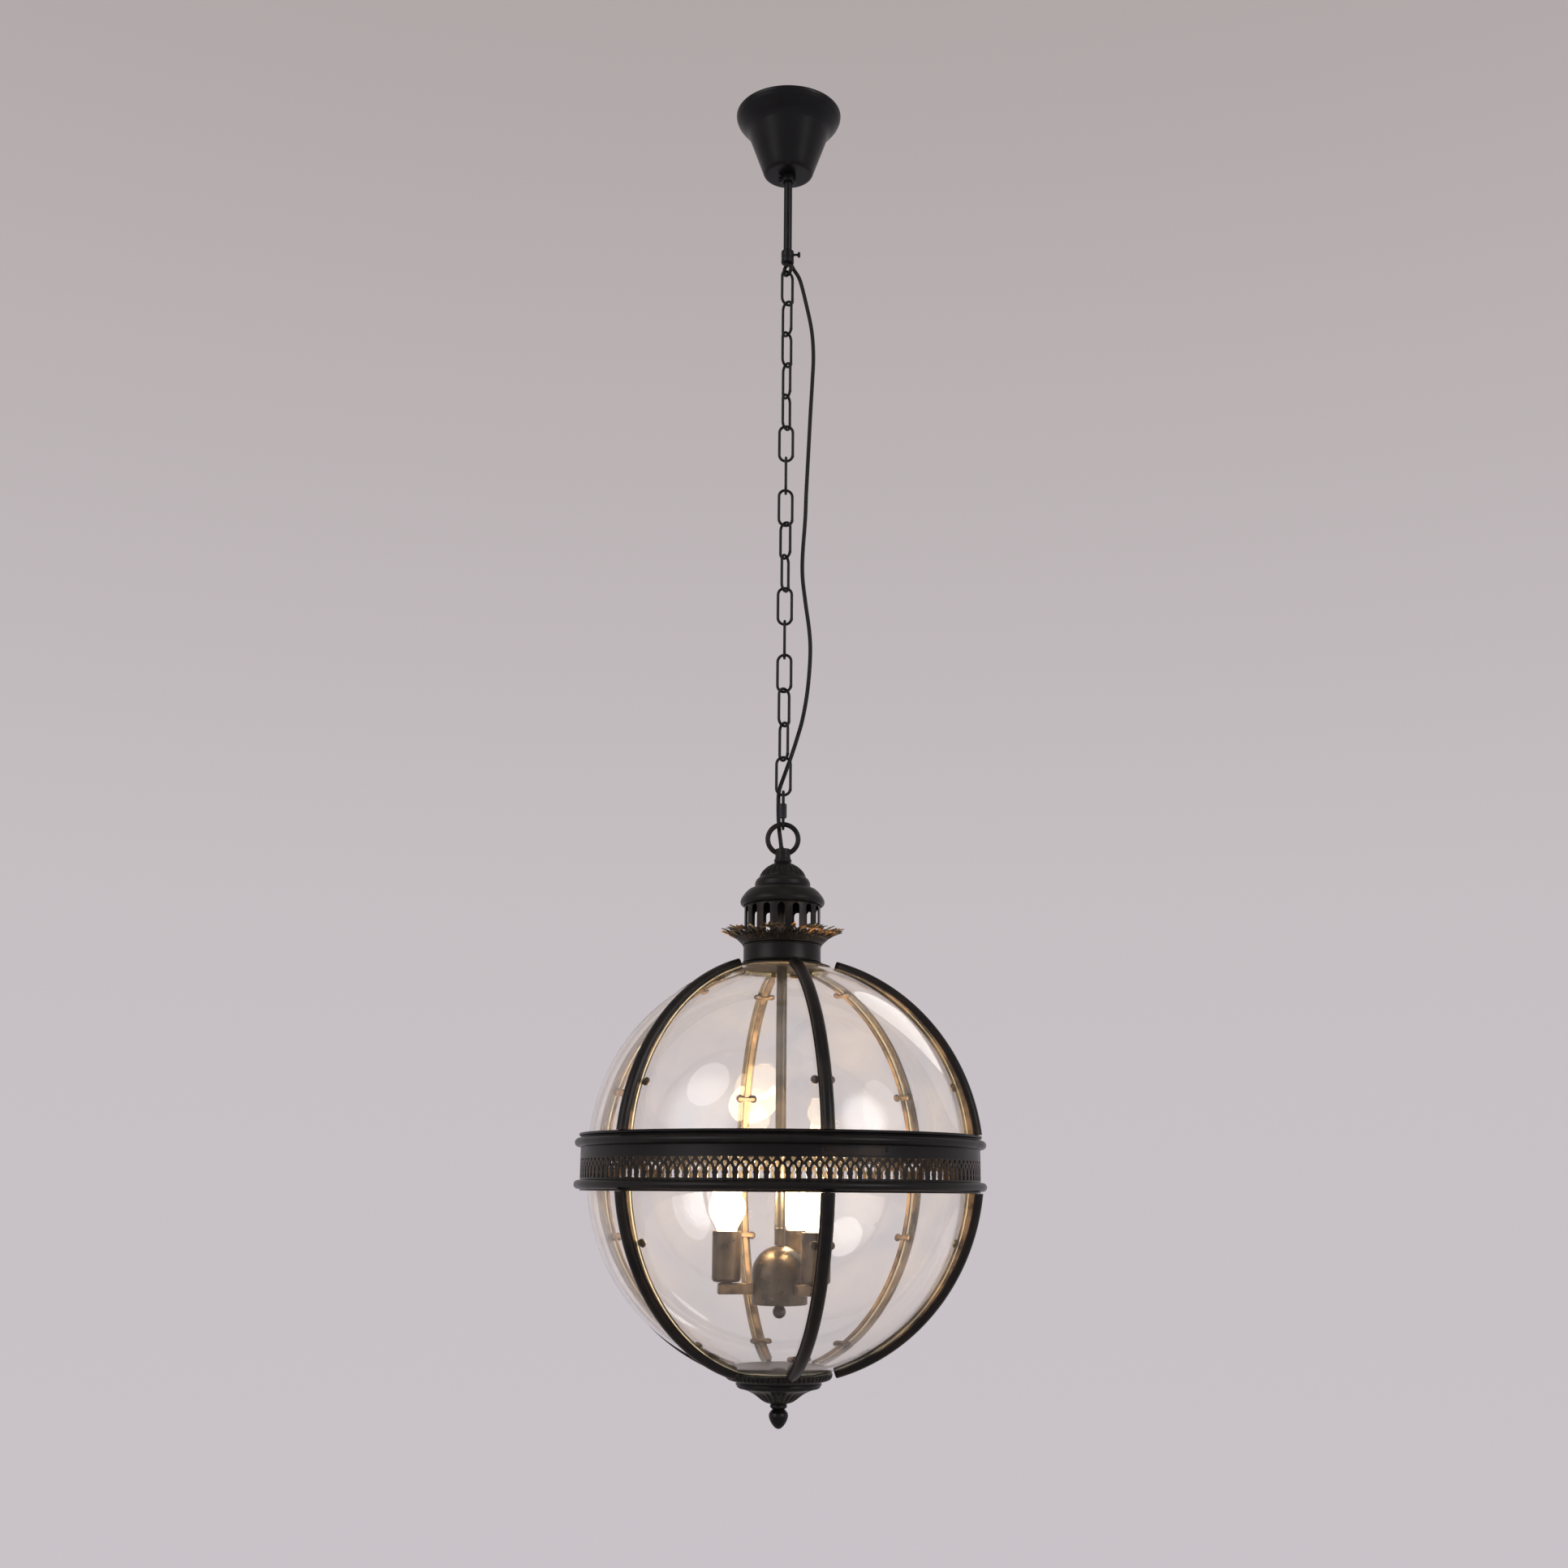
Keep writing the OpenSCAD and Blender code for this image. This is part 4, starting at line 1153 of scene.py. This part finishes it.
def stage_floor():
    """A pale floor that fades out towards its rim."""
    material, tree, out = new_material("pale floor")
    place = add(tree, "ShaderNodeTexCoord").outputs["Object"]
    cloud = add(tree, "ShaderNodeTexNoise", Vector=place, Scale=1.4, Detail=4)
    tone = ramp(tree, cloud.outputs["Fac"], (0.2, (0.60, 0.565, 0.575)),
                (0.8, (0.64, 0.605, 0.615)))
    shader = add(tree, "ShaderNodeBsdfPrincipled", Roughness=0.85, Base_Color=tone)
    apart = add(tree, "ShaderNodeVectorMath", operation="LENGTH", Vector=place)
    spread = add(tree, "ShaderNodeMapRange", From_Min=0.7, From_Max=3.0,
                 Value=apart.outputs["Value"])
    clear = add(tree, "ShaderNodeBsdfTransparent")
    feed(tree, out.inputs["Surface"],
         mix_shader(tree, spread.outputs[0], shader.outputs[0], clear.outputs[0]))
    mesh = bpy.data.meshes.new("floor")
    ring = [(3.2 * math.cos(TAU * k / 64), 3.2 * math.sin(TAU * k / 64), 0) for k in range(64)]
    mesh.from_pydata(ring, [], [list(range(64))])
    mesh.materials.append(material)
    floor = bpy.data.objects.new("floor", mesh)
    floor.location = (0, 0, low("acorn_finial").z - 0.72)
    scene.collection.objects.link(floor)


def lamp(name, place, aim, size, power, colour):
    data = bpy.data.lights.new(name, "AREA")
    data.shape = "ELLIPSE"
    data.size, data.size_y = size
    data.energy = power
    data.color = colour
    light = bpy.data.objects.new(name, data)
    light.location = place
    light.rotation_mode = "QUATERNION"
    light.rotation_quaternion = (Vector(aim) - Vector(place)).to_track_quat("-Z", "Y")
    light.visible_glossy = False
    scene.collection.objects.link(light)


stage_floor()


def room_light():
    """A pale surround that darkens upwards, with soft bright patches seen only in mirrors."""
    world = bpy.data.worlds.new("room")
    scene.world = world
    world.use_nodes = True
    tree = world.node_tree
    way = add(tree, "ShaderNodeTexCoord").outputs["Generated"]
    parts = add(tree, "ShaderNodeSeparateXYZ", Vector=way)
    up = add(tree, "ShaderNodeMapRange", Value=parts.outputs["Z"], From_Min=-0.4, From_Max=0.75)
    total = ramp(tree, up.outputs[0], (0.0, (0.60, 0.565, 0.61)), (0.5, (0.565, 0.52, 0.54)),
                 (1.0, (0.39, 0.345, 0.335)))
    sight = add(tree, "ShaderNodeLightPath").outputs["Is Glossy Ray"]
    for aim, tight, power in (((-0.72, -0.62, 0.32), 0.88, 2.4), ((0.75, -0.6, 0.28), 0.95, 5.0),
                              ((0.1, -0.5, 0.86), 0.9, 0.5)):
        dot = add(tree, "ShaderNodeVectorMath", operation="DOT_PRODUCT")
        feed(tree, dot.inputs[0], way)
        dot.inputs[1].default_value = Vector(aim).normalized()
        patch = add(tree, "ShaderNodeMapRange", interpolation_type="SMOOTHERSTEP",
                    Value=dot.outputs["Value"], From_Min=tight, From_Max=1.0, To_Max=power)
        hidden = calc(tree, "MULTIPLY", patch.outputs[0], sight)
        total = mix_colour(tree, hidden, total, (1, 0.98, 0.96, 1), "ADD")
        total.node.clamp_factor = False
    feed(tree, tree.nodes["Background"].inputs["Color"], total)


room_light()
lamp("key", (-1.9, -1.6, 0.6), (0, 0, -1.0), (1.3, 1.3), 15, (1.0, 0.97, 0.95))
lamp("fill", (2.2, -1.1, -0.5), (0, 0, -0.9), (1.2, 2.0), 12, (0.93, 0.95, 1.0))
lamp("back", (1.4, 1.7, 0.4), (0, 0, -0.9), (1.0, 1.6), 10, (1.0, 0.97, 0.94))
for k in range(3):
    data = bpy.data.lights.new(f"bulb_{k + 1}_light", "POINT")
    data.energy = 2.8
    data.color = (1.0, 0.66, 0.34)
    data.shadow_soft_size = 0.016
    light = bpy.data.objects.new(f"bulb_{k + 1}_light", data)
    at = lamp_place(k)
    light.location = (at.x, at.y, NECK - 334 * MM)
    scene.collection.objects.link(light)

scene.view_settings.view_transform = "Standard"
